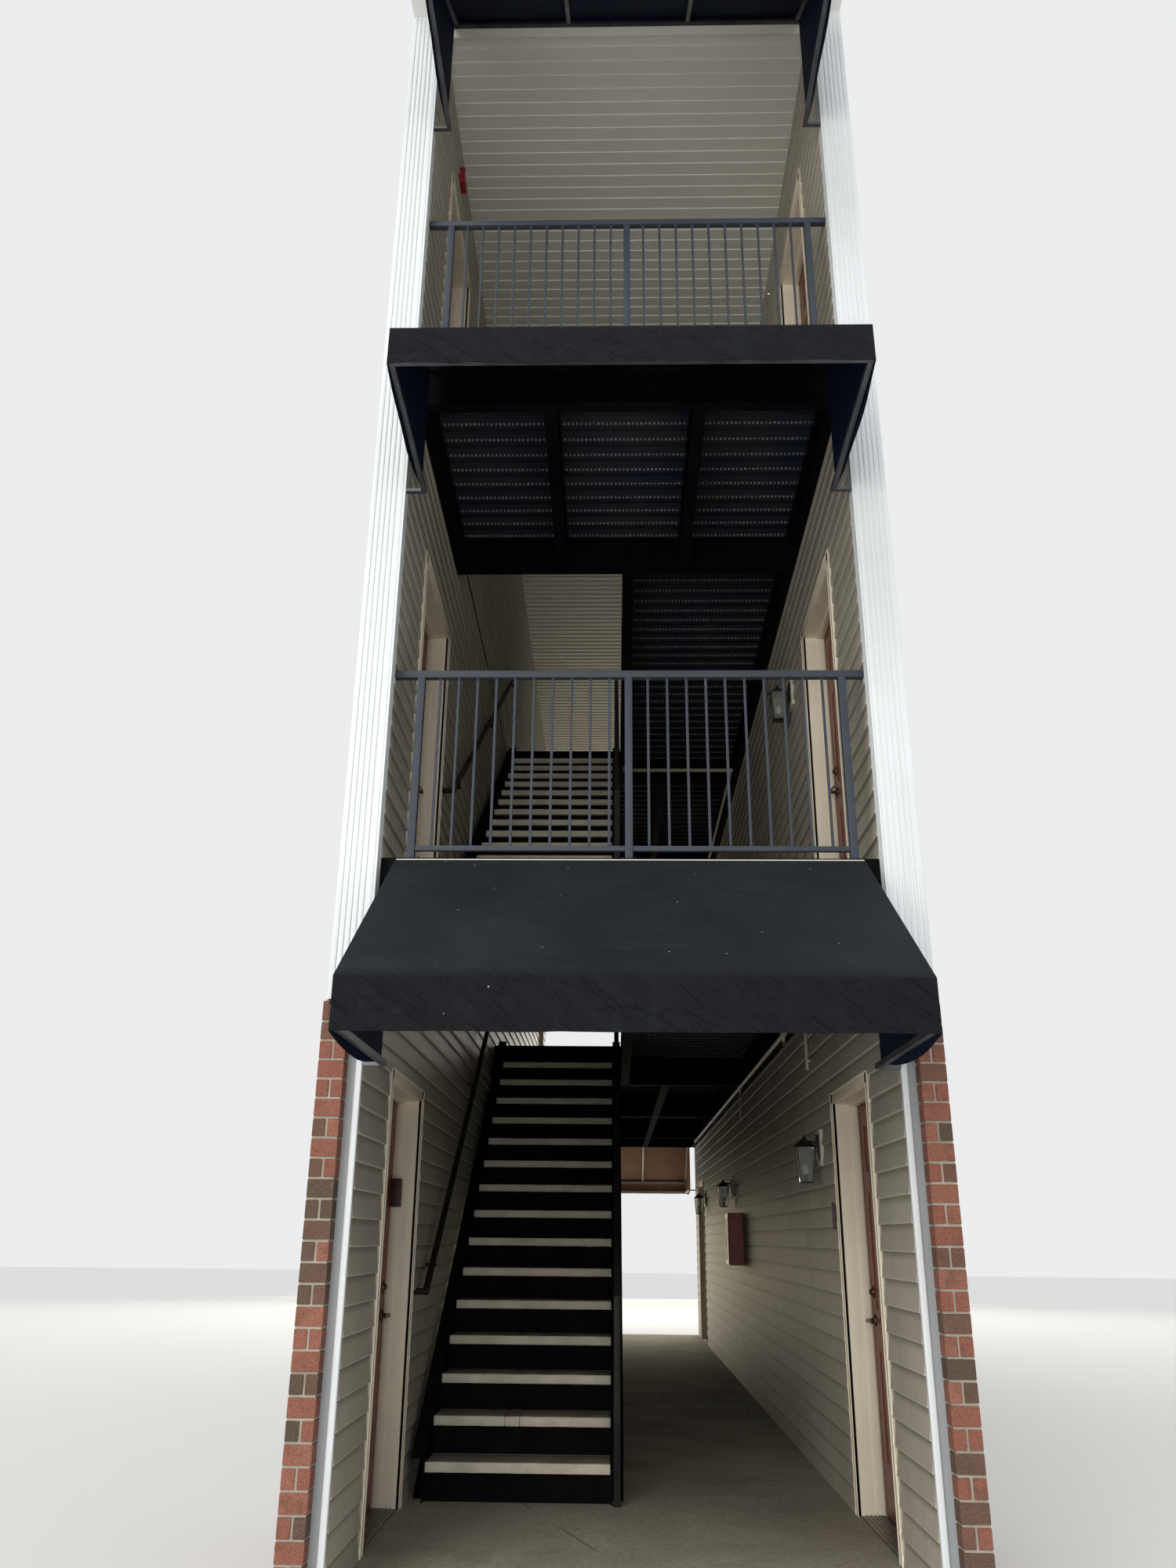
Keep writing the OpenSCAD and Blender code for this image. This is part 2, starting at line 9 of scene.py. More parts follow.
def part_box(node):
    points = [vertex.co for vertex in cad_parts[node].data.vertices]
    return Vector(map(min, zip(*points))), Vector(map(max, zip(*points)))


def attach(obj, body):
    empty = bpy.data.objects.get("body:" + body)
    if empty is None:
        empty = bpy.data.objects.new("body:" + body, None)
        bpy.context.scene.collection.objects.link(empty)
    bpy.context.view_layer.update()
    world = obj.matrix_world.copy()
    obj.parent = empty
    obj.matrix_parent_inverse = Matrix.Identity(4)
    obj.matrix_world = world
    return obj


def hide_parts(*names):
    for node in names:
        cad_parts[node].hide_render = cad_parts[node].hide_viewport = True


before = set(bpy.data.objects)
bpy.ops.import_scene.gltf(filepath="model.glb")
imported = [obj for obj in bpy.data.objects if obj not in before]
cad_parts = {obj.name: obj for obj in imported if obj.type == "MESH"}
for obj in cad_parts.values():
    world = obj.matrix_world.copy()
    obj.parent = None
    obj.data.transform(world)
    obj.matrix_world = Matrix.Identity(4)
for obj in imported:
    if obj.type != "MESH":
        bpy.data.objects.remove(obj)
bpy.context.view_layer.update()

# Places read from the frame, in metres
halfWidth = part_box("third_floor_slab")[1].x
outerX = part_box("right_upper_wall")[1].x
frontY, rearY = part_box("ceiling")[0].y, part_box("ceiling")[1].y
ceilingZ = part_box("ceiling")[1].z - 0.03
floorZ = [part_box(name)[1].z for name in ("ground_slab", "second_floor_slab", "third_floor_slab")]
storey = floorZ[1] - floorZ[0]
sidingPitch = storey / 26
deckUnderZ = [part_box(name)[0].z for name in ("second_floor_beams", "third_floor_beams")]
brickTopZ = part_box("brick_facings")[1].z
leafLow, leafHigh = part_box("right_door")
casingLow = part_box("right_door_frames")[0]
treadLow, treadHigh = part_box("lower_flight_treads")
treadRun, treadRise = 0.27, storey / 16
voidY = [treadLow.y - 0.02, treadHigh.y + 0.005]
guardLow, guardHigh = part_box("front_guards")
stairGuardLow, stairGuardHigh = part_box("second_floor_stair_guard")
roofLow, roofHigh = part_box("roof_slopes")
slope = math.atan2(roofHigh.z - 0.18 - roofLow.z, -roofLow.y)

# Door trim: widths of its boards and the gaps round the leaf
trim = {"casing": 0.065, "out": 0.020, "reveal": 0.005, "jamb": 0.020, "bead": 0.012, "step": 0.010,
        "stop": 0.012, "stopOut": 0.04, "hingeGap": 0.005, "lockGap": 0.008, "headGap": 0.005, "caulks": 18}
casingFar = leafHigh.y + trim["lockGap"] + trim["reveal"] + trim["casing"]
levelWords = ("Ground", "Second", "Third")


# Modelling helpers
def clearPick():
    bpy.ops.object.select_all(action="DESELECT")


def activate(piece):
    clearPick()
    piece.select_set(True)
    bpy.context.view_layer.objects.active = piece


def named(name):
    # The new primitive, with its place kept in its mesh
    piece = bpy.context.object
    piece.name = name
    bpy.ops.object.transform_apply(location=True, rotation=True, scale=True)
    return piece


def addBox(name, low, high):
    low, high = Vector(low), Vector(high)
    clearPick()
    bpy.ops.mesh.primitive_cube_add(size=1, location=(low + high) / 2, scale=high - low)
    return named(name)


def addObject(name, data):
    made = bpy.data.objects.new(name, data)
    bpy.context.scene.collection.objects.link(made)
    return made


def mirrored(side, first, second):
    return sorted((side * first, side * second))


def addRod(name, start, end, radius, sides=16, endRadius=None):
    start, end = Vector(start), Vector(end)
    turn = (end - start).to_track_quat("Z", "Y").to_euler()
    clearPick()
    bpy.ops.mesh.primitive_cone_add(vertices=sides, radius1=radius, depth=(end - start).length,
                                    radius2=radius if endRadius is None else endRadius,
                                    location=(start + end) / 2, rotation=turn)
    return named(name)


def addBall(name, middle, radii, segments=16, rings=10):
    clearPick()
    bpy.ops.mesh.primitive_uv_sphere_add(segments=segments, ring_count=rings, radius=1,
                                         location=middle, scale=radii)
    return named(name)


def useModifier(piece, kind, **settings):
    activate(piece)
    modifier = piece.modifiers.new(kind.lower(), kind)
    for key, value in settings.items():
        setattr(modifier, key, value)
    bpy.ops.object.modifier_apply(modifier=modifier.name)
    return piece


def roundEdges(piece, width, segments=2):
    return useModifier(piece, "BEVEL", width=width, segments=segments, limit_method="ANGLE",
                       angle_limit=math.radians(40))


def addSoftBox(name, low, high, width, segments=2):
    return roundEdges(addBox(name, low, high), width, segments)


def addSoftRod(name, start, end, radius, sides, width, segments=2, endRadius=None):
    return roundEdges(addRod(name, start, end, radius, sides, endRadius), width, segments)


def addStub(name, spot, way, near, far, radius, sides, width=0, segments=2, endRadius=None):
    # A rod from near to far along a way, rounded where a width is given
    spot, way = Vector(spot), Vector(way)
    rod = addRod(name, spot + way * near, spot + way * far, radius, sides, endRadius)
    return roundEdges(rod, width, segments) if width else rod


def repeat(piece, count, step):
    return useModifier(piece, "ARRAY", count=count, use_relative_offset=False,
                       use_constant_offset=True, constant_offset_displace=step)


def shift(piece, place, turn=Matrix()):
    piece.data.transform(Matrix.Translation(place) @ turn)
    return piece


def openEdit(piece, part="FACE", everything=False):
    activate(piece)
    bpy.ops.object.mode_set(mode="EDIT")
    bpy.ops.mesh.select_mode(type=part)
    bpy.ops.mesh.select_all(action="SELECT" if everything else "DESELECT")


def closeEdit():
    bpy.ops.object.mode_set(mode="OBJECT")


def pick(piece, part, kind, test):
    # Stays in edit mode, with those faces, edges or vertices selected that pass the test
    openEdit(piece, part)
    closeEdit()
    for item in getattr(piece.data, kind):
        item.select = test(item)
    bpy.ops.object.mode_set(mode="EDIT")


def insetFaces(piece, test, *steps):
    # Each step insets the chosen faces by a width and raises or sinks them by a depth
    pick(piece, "FACE", "polygons", lambda face: test(face.center, face.normal))
    for width, depth in steps:
        bpy.ops.mesh.inset(thickness=width, depth=depth)
    closeEdit()
    return piece


def moveVertices(piece, test, step):
    pick(piece, "VERT", "vertices", lambda vertex: test(vertex.co))
    bpy.ops.transform.translate(value=step)
    closeEdit()
    return piece


def cutAt(piece, point, direction, keepBelow=False, keepAbove=False):
    openEdit(piece, everything=True)
    bpy.ops.mesh.bisect(plane_co=point, plane_no=direction, clear_outer=keepBelow,
                        clear_inner=keepAbove, use_fill=keepBelow or keepAbove)
    closeEdit()


def joinAll(name, pieces):
    clearPick()
    for piece in pieces:
        piece.select_set(True)
    bpy.context.view_layer.objects.active = pieces[0]
    if len(pieces) > 1:
        bpy.ops.object.join()
    piece = bpy.context.view_layer.objects.active
    piece.name = name
    return piece


def turnOver(piece, flipX=False, flipY=False):
    for flip, axis in ((flipX, (1, 0, 0)), (flipY, (0, 1, 0))):
        if flip:
            piece.data.transform(Matrix.Scale(-1, 4, axis))
            piece.data.flip_normals()
    return piece


def copyOf(piece, name, offset=(0, 0, 0), flipX=False, flipY=False):
    made = piece.copy()
    made.data = piece.data.copy()
    made.name = name
    bpy.context.scene.collection.objects.link(made)
    return turnOver(shift(made, offset), flipX, flipY)


def smoothShade(piece, degrees=35):
    activate(piece)
    bpy.ops.object.shade_smooth_by_angle(angle=math.radians(degrees))
    return piece


def paint(piece, material):
    piece.data.materials.clear()
    piece.data.materials.append(material)
    return piece


def settle(piece, slotName, *nodes, body="building"):
    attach(piece, body)
    if nodes:
        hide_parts(*nodes)
    return piece


def finishPiece(name, parts, look, slotName, *nodes, angle=0, body="building"):
    # The parts become one painted piece that stands for the given nodes
    piece = paint(joinAll(name, parts), look)
    if angle:
        smoothShade(piece, angle)
    return settle(piece, slotName, *nodes, body=body)


def toneByCell(piece, cellOf, seed):
    # Every board, brick or shingle gets a random tone of its own that its material reads
    tones = piece.data.attributes.new("tone", "FLOAT", "FACE")
    dice, found = random.Random(seed), {}
    for face in piece.data.polygons:
        cell = cellOf(face.center)
        if cell not in found:
            found[cell] = dice.random()
        tones.data[face.index].value = found[cell]
    return piece


# Node helpers
def addNode(tree, kind, links=None, **settings):
    made = tree.nodes.new(kind)
    for key, value in settings.items():
        setattr(made, key, value)
    for key, value in (links or {}).items():
        if isinstance(value, bpy.types.NodeSocket):
            tree.links.new(value, made.inputs[key])
        else:
            made.inputs[key].default_value = value
    return made


def mixColor(tree, factor, low, high, blend="MIX"):
    low, high = [(*c, 1) if isinstance(c, tuple) and len(c) == 3 else c for c in (low, high)]
    return addNode(tree, "ShaderNodeMix", {0: factor, 6: low, 7: high}, data_type="RGBA",
                   blend_type=blend).outputs[2]


def remap(tree, value, low, high, toLow=0.0, toHigh=1.0):
    return addNode(tree, "ShaderNodeMapRange", {0: value, 1: low, 2: high, 3: toLow, 4: toHigh}).outputs[0]


def calc(tree, kind, first, second=0.0):
    return addNode(tree, "ShaderNodeMath", {0: first, 1: second}, operation=kind).outputs[0]


def times(tree, first, second):
    return calc(tree, "MULTIPLY", first, second)


def cycle(tree, value, start, length):
    return calc(tree, "FLOORED_MODULO", calc(tree, "SUBTRACT", value, start), length)


def soil(tree, base, mask, share, colour):
    return mixColor(tree, times(tree, mask, share), base, colour)


def cover(tree, base, value, low, high, share, colour):
    # The colour comes in as the value goes from low to high
    return mixColor(tree, remap(tree, value, low, high, 0.0, share), base, colour)


def placeOf(tree, kind="Object"):
    return addNode(tree, "ShaderNodeTexCoord").outputs[kind]


def partsOf(tree, kind="Object"):
    return addNode(tree, "ShaderNodeSeparateXYZ", {0: placeOf(tree, kind)}).outputs


def stretched(tree, amount):
    return addNode(tree, "ShaderNodeVectorMath", {0: placeOf(tree), 1: amount}, operation="MULTIPLY").outputs[0]


def noise(tree, scale, detail=3.0, rough=0.55, distort=0.0, stretch=(1, 1, 1), place=None):
    return addNode(tree, "ShaderNodeTexNoise", {
        "Vector": stretched(tree, stretch) if place is None else place, "Scale": scale, "Detail": detail,
        "Roughness": rough, "Distortion": distort}).outputs["Fac"]


def cells(tree, place, scale, feature="F1"):
    return addNode(tree, "ShaderNodeTexVoronoi", {"Vector": place, "Scale": scale, "Randomness": 1.0},
                   feature=feature).outputs["Distance"]


def newGroup(name, inputs, outputs):
    tree = bpy.data.node_groups.new(name, "ShaderNodeTree")
    for socket, value in inputs.items():
        made = tree.interface.new_socket(name=socket, in_out="INPUT", socket_type="NodeSocketFloat")
        made.default_value = value
    for socket in outputs:
        tree.interface.new_socket(name=socket, in_out="OUTPUT", socket_type="NodeSocketFloat")
    return tree, tree.nodes.new("NodeGroupInput").outputs, tree.nodes.new("NodeGroupOutput").inputs


def useGroup(tree, group, **values):
    return addNode(tree, "ShaderNodeGroup", values, node_tree=group).outputs


def scaledPlace(tree, scale):
    return addNode(tree, "ShaderNodeVectorMath", {0: placeOf(tree), "Scale": scale}, operation="SCALE").outputs[0]


def newMaterial(name, roughness=0.5, metallic=0.0, specular=0.5):
    material = bpy.data.materials.new(name)
    material.use_nodes = True
    inputs = material.node_tree.nodes["Principled BSDF"].inputs
    inputs["Roughness"].default_value = roughness
    inputs["Metallic"].default_value = metallic
    inputs["Specular IOR Level"].default_value = specular
    return material, material.node_tree


def coat(material, colour, height, strength, distance, roughness=None):
    # Colour, bump and, where it varies, roughness
    tree = material.node_tree
    inputs = tree.nodes["Principled BSDF"].inputs
    tree.links.new(colour, inputs["Base Color"])
    if roughness is not None:
        tree.links.new(roughness, inputs["Roughness"])
    bump = addNode(tree, "ShaderNodeBump", {"Height": height, "Strength": strength, "Distance": distance})
    tree.links.new(bump.outputs["Normal"], inputs["Normal"])
    return material


# Weather: soft blotches, fine speckle and streaks that run down
def makeWeatherGroup():
    tree, given, out = newGroup("weather", {"Scale": 1.0, "Streak": 6.0}, ("Blotch", "Fine", "Streaks"))
    place = scaledPlace(tree, given["Scale"])
    parts = addNode(tree, "ShaderNodeSeparateXYZ", {0: place}).outputs
    wide = addNode(tree, "ShaderNodeCombineXYZ", {
        0: times(tree, parts[0], given["Streak"]), 1: times(tree, parts[1], given["Streak"]),
        2: times(tree, parts[2], 0.35)}).outputs[0]
    tree.links.new(remap(tree, noise(tree, 1.7, 5.0, 0.6, place=place), 0.35, 0.68), out["Blotch"])
    tree.links.new(noise(tree, 38.0, 3.0, 0.6, place=place), out["Fine"])
    tree.links.new(remap(tree, noise(tree, 2.0, 4.0, 0.6, place=wide), 0.5, 0.75), out["Streaks"])
    return tree


# Scuffs: short scratches gathered where a slow noise is high
def makeScuffGroup():
    tree, given, out = newGroup("scuffs", {"Scale": 1.0, "Amount": 0.5}, ("Mask",))
    place = scaledPlace(tree, given["Scale"])
    lines = remap(tree, cells(tree, place, 34.0, "DISTANCE_TO_EDGE"), 0.045, 0.0)
    limit = calc(tree, "SUBTRACT", 1.0, times(tree, given["Amount"], 0.6))
    near = calc(tree, "GREATER_THAN", noise(tree, 9.0, 4.0, 0.7, 0.6, place=place), limit)
    worn = remap(tree, noise(tree, 60.0, 4.0, 0.7, place=place), 0.66, 0.72)
    tree.links.new(calc(tree, "MAXIMUM", times(tree, lines, near), times(tree, worn, near)), out["Mask"])
    return tree


# Weave: warp and weft of a cloth laid out on its own UV map, in threads per metre
def makeWeaveGroup():
    tree, given, out = newGroup("weave", {"Threads": 600.0}, ("Height",))
    waves = []
    for along in list(partsOf(tree, "UV"))[:2]:
        turn = times(tree, times(tree, along, given["Threads"]), math.pi)
        waves.append(calc(tree, "ABSOLUTE", calc(tree, "SINE", turn)))
    tree.links.new(calc(tree, "MAXIMUM", *waves), out["Height"])
    return tree


weatherGroup, scuffGroup, weaveGroup = makeWeatherGroup(), makeScuffGroup(), makeWeaveGroup()


def weatherOf(tree, scale, streak):
    return useGroup(tree, weatherGroup, Scale=scale, Streak=streak)


def toneOf(tree):
    return addNode(tree, "ShaderNodeAttribute", attribute_name="tone").outputs["Fac"]


def makeSiding():
    look = {"pale": (0.53, 0.50, 0.42), "deep": (0.45, 0.42, 0.345), "grime": (0.20, 0.17, 0.12),
            "shade": (0.11, 0.095, 0.065), "edge": (0.70, 0.67, 0.57)}
    material, tree = newMaterial("vinylSiding", 0.52)
    weather = weatherOf(tree, 1.0, 9.0)
    base = mixColor(tree, toneOf(tree), look["deep"], look["pale"])
    base = soil(tree, base, weather["Blotch"], 0.25, look["grime"])
    base = soil(tree, base, weather["Streaks"], 0.22, look["grime"])
    # Painted shade, with some dirt, darkens each board just under the butt of the board above, and a painted
    # highlight lightens its lower edge
    course = cycle(tree, partsOf(tree)[2], floorZ[0] - 0.0005, sidingPitch)
    base = cover(tree, base, course, sidingPitch - 0.034, sidingPitch - 0.004, 0.6, look["shade"])
    base = cover(tree, base, course, 0.010, 0.004, 0.5, look["edge"])
    return coat(material, base, noise(tree, 1.0, 4.0, 0.65, 0.4, stretch=(40, 2.5, 130)), 0.35, 0.0012)


def makeBrick():
    look = {"burnt": (0.088, 0.064, 0.046), "brown": (0.145, 0.078, 0.056), "red": (0.235, 0.092, 0.062),
            "orange": (0.27, 0.115, 0.078), "soot": (0.085, 0.055, 0.038), "chalk": (0.42, 0.36, 0.30)}
    material, tree = newMaterial("firedBrick", 0.88, specular=0.3)
    shades = addNode(tree, "ShaderNodeValToRGB", {0: toneOf(tree)})
    stops = shades.color_ramp.elements
    stops[0].color, stops[1].color = (*look["burnt"], 1), (*look["orange"], 1)
    for place, shade in ((0.2, "brown"), (0.32, "red"), (0.7, "red")):
        stops.new(place).color = (*look[shade], 1)
    speckle = remap(tree, weatherOf(tree, 4.0, 5.0)["Fine"], 0.38, 0.62, 0.72, 1.2)
    grey = addNode(tree, "ShaderNodeCombineColor", dict.fromkeys((0, 1, 2), speckle)).outputs[0]
    base = mixColor(tree, 1.0, shades.outputs[0], grey, "MULTIPLY")
    base = cover(tree, base, noise(tree, 9.0, 5.0, 0.7, 0.6), 0.5, 0.72, 0.75, look["soot"])
    base = cover(tree, base, noise(tree, 21.0, 5.0, 0.75), 0.62, 0.8, 0.4, look["chalk"])
    return coat(material, base, noise(tree, 160.0, 5.0, 0.7), 0.7, 0.0022)


def makeMortar():
    material, tree = newMaterial("mortar", 0.95, specular=0.2)
    base = mixColor(tree, weatherOf(tree, 3.0, 4.0)["Blotch"], (0.42, 0.38, 0.31), (0.27, 0.24, 0.19))
    return coat(material, base, noise(tree, 220.0, 4.0, 0.7), 0.8, 0.002)


def makeTrim(name, pale, grime, roughness, share):
    # Smooth painted or vinyl trim with faint dirt that runs down it
    material, tree = newMaterial(name, roughness)
    weather = weatherOf(tree, 1.6, 12.0)
    dirt = calc(tree, "MAXIMUM", times(tree, weather["Streaks"], share),
                times(tree, weather["Blotch"], share * 0.6))
    return coat(material, mixColor(tree, dirt, pale, grime),
                noise(tree, 90.0, 2.0, stretch=(1, 1, 0.25)), 0.12, 0.0008)


def makeDoorPaint():
    material, tree = newMaterial("doorPaint", 0.42)
    weather = weatherOf(tree, 2.0, 7.0)
    base = mixColor(tree, weather["Blotch"], (0.22, 0.055, 0.04), (0.16, 0.042, 0.031))
    base = soil(tree, base, weather["Streaks"], 0.3, (0.24, 0.13, 0.10))
    return coat(material, base, noise(tree, 2.0, 4.0, 0.6, stretch=(60, 60, 3)), 0.15, 0.0008)


def makeSteel(name, base, dust, scratch, roughness, amount, dustShare, specular=0.15):
    # Black paint on steel: a film of dust, and scuffs that show the primer
    material, tree = newMaterial(name, roughness, specular=specular)
    weather = weatherOf(tree, 2.2, 5.0)
    scuffs = useGroup(tree, scuffGroup, Scale=1.0, Amount=amount)["Mask"]
    shade = mixColor(tree, times(tree, weather["Blotch"], dustShare), base, dust)
    return coat(material, mixColor(tree, scuffs, shade, scratch),
                calc(tree, "SUBTRACT", noise(tree, 120.0, 3.0), scuffs), 0.25, 0.0006,
                remap(tree, weather["Fine"], 0.3, 0.7, roughness - 0.08, roughness + 0.14))


def makeDeckPan():
    # Ribbed deck from below: a row of dimples low on each sloping web is painted pale, a painted highlight where they
    # catch the light
    look = {"base": (0.019, 0.025, 0.048), "dust": (0.036, 0.034, 0.034), "dimpleHighlight": (0.42, 0.385, 0.34),
            "pitch": 0.026, "low": 0.006, "high": 0.014, "soft": 0.001}
    material, tree = newMaterial("deckPan", 0.6, specular=0.1)
    weather, spot, soft = weatherOf(tree, 1.5, 4.0), partsOf(tree), look["soft"]
    base = mixColor(tree, weather["Blotch"], look["base"], look["dust"])
    height = cycle(tree, spot[2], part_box("second_floor_pan")[0].z - soft, storey)
    row = times(tree, remap(tree, height, look["low"] - soft, look["low"] + soft),
                remap(tree, height, look["high"] + soft, look["high"] - soft))
    web = times(tree, row, remap(tree, calc(tree, "ABSOLUTE", partsOf(tree, "Normal")[1]), 0.3, 0.45))
    step = calc(tree, "PINGPONG", spot[0], look["pitch"] / 2)
    dimples = times(tree, web, remap(tree, step, 0.005, 0.008))
    # Painted highlight: the pale dimple colour, broken up by noise
    worn = times(tree, dimples, remap(tree, weather["Fine"], 0.4, 0.6, 0.25, 0.9))
    return coat(material, mixColor(tree, worn, base, look["dimpleHighlight"]), dimples, 0.6, 0.003)


def makeConcrete(name, pale, deep, stain, roughness, scale, crack):
    material, tree = newMaterial(name, roughness, specular=0.12)
    weather = weatherOf(tree, scale, 2.0)
    base = mixColor(tree, weather["Blotch"], pale, deep)
    base = cover(tree, base, weather["Fine"], 0.35, 0.65, 0.35, stain)
    base = cover(tree, base, noise(tree, 0.9, 6.0, 0.75, 0.5), 0.55, 0.75, 0.6, stain)
    edges = cells(tree, stretched(tree, (1, 1, 1)), crack, "DISTANCE_TO_EDGE")
    lines = times(tree, remap(tree, edges, 0.006, 0.0), remap(tree, noise(tree, 2.0), 0.5, 0.6))
    return coat(material, mixColor(tree, lines, base, stain),
                calc(tree, "SUBTRACT", noise(tree, 75.0, 5.0, 0.7), lines), 0.3, 0.0016)


def makeTread():
    # Pale at the nosing, and dark over the rest of each tread from about 3 cm behind its front edge
    look = {"nose": (0.74, 0.70, 0.58), "worn": (0.54, 0.51, 0.42), "foot": (0.20, 0.185, 0.15),
            "stain": (0.30, 0.26, 0.20)}
    material, tree = newMaterial("treadConcrete", 0.8, specular=0.3)
    weather = weatherOf(tree, 4.0, 3.0)
    back = cycle(tree, partsOf(tree)[1], treadLow.y - 0.004, treadRun)
    base = mixColor(tree, weather["Blotch"], look["nose"], look["worn"])
    base = cover(tree, base, back, 0.009, 0.030, 1.0, look["foot"])
    base = cover(tree, base, noise(tree, 9.0, 6.0, 0.75, 0.5), 0.58, 0.75, 0.55, look["stain"])
    base = cover(tree, base, weather["Fine"], 0.4, 0.65, 0.3, look["worn"])
    return coat(material, base, noise(tree, 95.0, 5.0, 0.7), 0.35, 0.0016)


def makeCloth(name, base, dust, lint):
    # Dust lies on the slope, its pale bluish tone partly real dust and partly a painted sheen of the sky; slanting
    # creases show where the valance hangs loose
    material, tree = newMaterial(name, 0.72, specular=0.12)
    weather, along = weatherOf(tree, 1.3, 4.0), partsOf(tree, "UV")[1]
    dustAndSheen = times(tree, remap(tree, weather["Blotch"], 0, 1, 0.6, 1.2),
                    remap(tree, along, 1.275, 1.2, 0.15, 0.75))
    shade = soil(tree, mixColor(tree, dustAndSheen, base, dust), weather["Streaks"], 0.2, dust)
    bits = calc(tree, "LESS_THAN", cells(tree, stretched(tree, (1, 1, 1)), 9.0), 0.03)
    slanted = addNode(tree, "ShaderNodeMapping", {
        0: stretched(tree, (1, 1, 1)), 2: (0.0, 0.65, 0.0), 3: (0.42, 0.42, 0.085)},
        vector_type="TEXTURE").outputs[0]
    folds = calc(tree, "SUBTRACT", noise(tree, 1.4, 3.0, 0.5, 0.6, place=slanted), 0.5)
    folds = times(tree, calc(tree, "ABSOLUTE", folds), remap(tree, along, 1.20, 1.32, 0.2, 6.0))
    soft = noise(tree, 2.2, 4.0, 0.6, 0.8, stretch=(1.5, 5, 5))
    weave = times(tree, useGroup(tree, weaveGroup, Threads=700.0)["Height"], 0.04)
    return coat(material, soil(tree, shade, bits, lint, (0.45, 0.45, 0.42)),
                calc(tree, "ADD", weave, calc(tree, "ADD", soft, folds)), 0.9, 0.022)


def makeTube(name, pale, deep):
    material, tree = newMaterial(name, 0.42, metallic=0.5)
    weather = weatherOf(tree, 5.0, 3.0)
    return coat(material, mixColor(tree, weather["Blotch"], pale, deep), weather["Fine"], 0.15, 0.0008)


def makeShingle():
    material, tree = newMaterial("roofShingle", 0.92, specular=0.3)
    base = mixColor(tree, toneOf(tree), (0.085, 0.078, 0.07), (0.17, 0.155, 0.135))
    base = cover(tree, base, noise(tree, 300.0, 2.0), 0.35, 0.65, 0.5, (0.24, 0.22, 0.2))
    base = soil(tree, base, weatherOf(tree, 1.0, 3.0)["Streaks"], 0.3, (0.05, 0.05, 0.045))
    return coat(material, base, noise(tree, 340.0, 2.0), 0.7, 0.002)


def makePartyBoard():
    # Plain party wall: fire-rated boards with taped seams
    look = {"board": (0.47, 0.465, 0.44), "tape": (0.56, 0.55, 0.52), "stain": (0.34, 0.32, 0.28),
            "high": 1.22, "long": 2.44, "tapeWide": 0.05}
    material, tree = newMaterial("partyBoard", 0.85, specular=0.3)
    weather, spot = weatherOf(tree, 1.2, 6.0), partsOf(tree)
    row = calc(tree, "FLOOR", calc(tree, "DIVIDE", spot[2], look["high"]))
    offset = times(tree, calc(tree, "MODULO", row, 2.0), look["long"] / 2)
    seams = []
    for value, size in ((spot[2], look["high"]), (calc(tree, "ADD", spot[1], offset), look["long"])):
        away = calc(tree, "PINGPONG", value, size / 2)
        seams.append(remap(tree, away, look["tapeWide"] * 0.55, look["tapeWide"] * 0.4))
    tape = calc(tree, "MAXIMUM", *seams)
    base = mixColor(tree, tape, look["board"], look["tape"])
    base = soil(tree, base, weather["Streaks"], 0.35, look["stain"])
    base = soil(tree, base, weather["Blotch"], 0.3, look["stain"])
    return coat(material, base, calc(tree, "ADD", tape, times(tree, weather["Fine"], 0.4)), 0.3, 0.0012)


def makePlain(name, colour, roughness, metallic=0.0, mottle=0.8):
    # Small fittings: one colour, mottled and slightly uneven
    material, tree = newMaterial(name, roughness, metallic)
    weather = weatherOf(tree, 8.0, 3.0)
    deep = tuple(channel * mottle for channel in colour)
    return coat(material, mixColor(tree, weather["Blotch"], colour, deep), weather["Fine"], 0.08, 0.0006,
                remap(tree, weather["Fine"], 0.3, 0.7, max(0.02, roughness - 0.05), roughness + 0.08))


def makeTinted(name, roughness, scale, pale, deep, settings=()):
    # Glass and bulbs, tinted a little unevenly
    material, tree = newMaterial(name, roughness)
    inputs = tree.nodes["Principled BSDF"].inputs
    for socket, value in settings:
        inputs[socket].default_value = value
    tree.links.new(mixColor(tree, noise(tree, scale), pale, deep), inputs["Base Color"])
    return material


sidingLook, brickLook, mortarLook = makeSiding(), makeBrick(), makeMortar()
# The flat strip beside the brick is painted grey-blue: painted shade for the shadow the projecting brick casts into
# the recess
shadedFlatLook = makeTrim("postFlatPaintedShade", (0.33, 0.355, 0.37), (0.22, 0.23, 0.23), 0.45, 0.3)
postLook = makeTrim("whitePost", (0.70, 0.73, 0.75), (0.46, 0.47, 0.46), 0.42, 0.25)
casingLook = makeTrim("creamTrim", (0.93, 0.85, 0.69), (0.55, 0.47, 0.36), 0.45, 0.3)
channelLook = makeTrim("channelTrim", (0.55, 0.51, 0.44), (0.28, 0.25, 0.2), 0.5, 0.4)
soffitLook = makeTrim("soffitVinyl", (0.86, 0.85, 0.77), (0.60, 0.58, 0.50), 0.5, 0.25)
rakeLook = makeTrim("rakeBoard", (0.80, 0.80, 0.78), (0.50, 0.48, 0.43), 0.5, 0.35)
flashingLook = makeTrim("awningFlashing", (0.62, 0.60, 0.53), (0.40, 0.37, 0.31), 0.45, 0.3)
doorLook, panLook, treadLook = makeDoorPaint(), makeDeckPan(), makeTread()
steelLook = makeSteel("frameSteel", (0.004, 0.0042, 0.0055), (0.016, 0.014, 0.012), (0.07, 0.06, 0.05),
                      0.72, 0.3, 0.4, 0.02)
railLook = makeSteel("railSteel", (0.012, 0.0115, 0.011), (0.036, 0.032, 0.027), (0.14, 0.125, 0.105),
                     0.45, 0.4, 0.5)
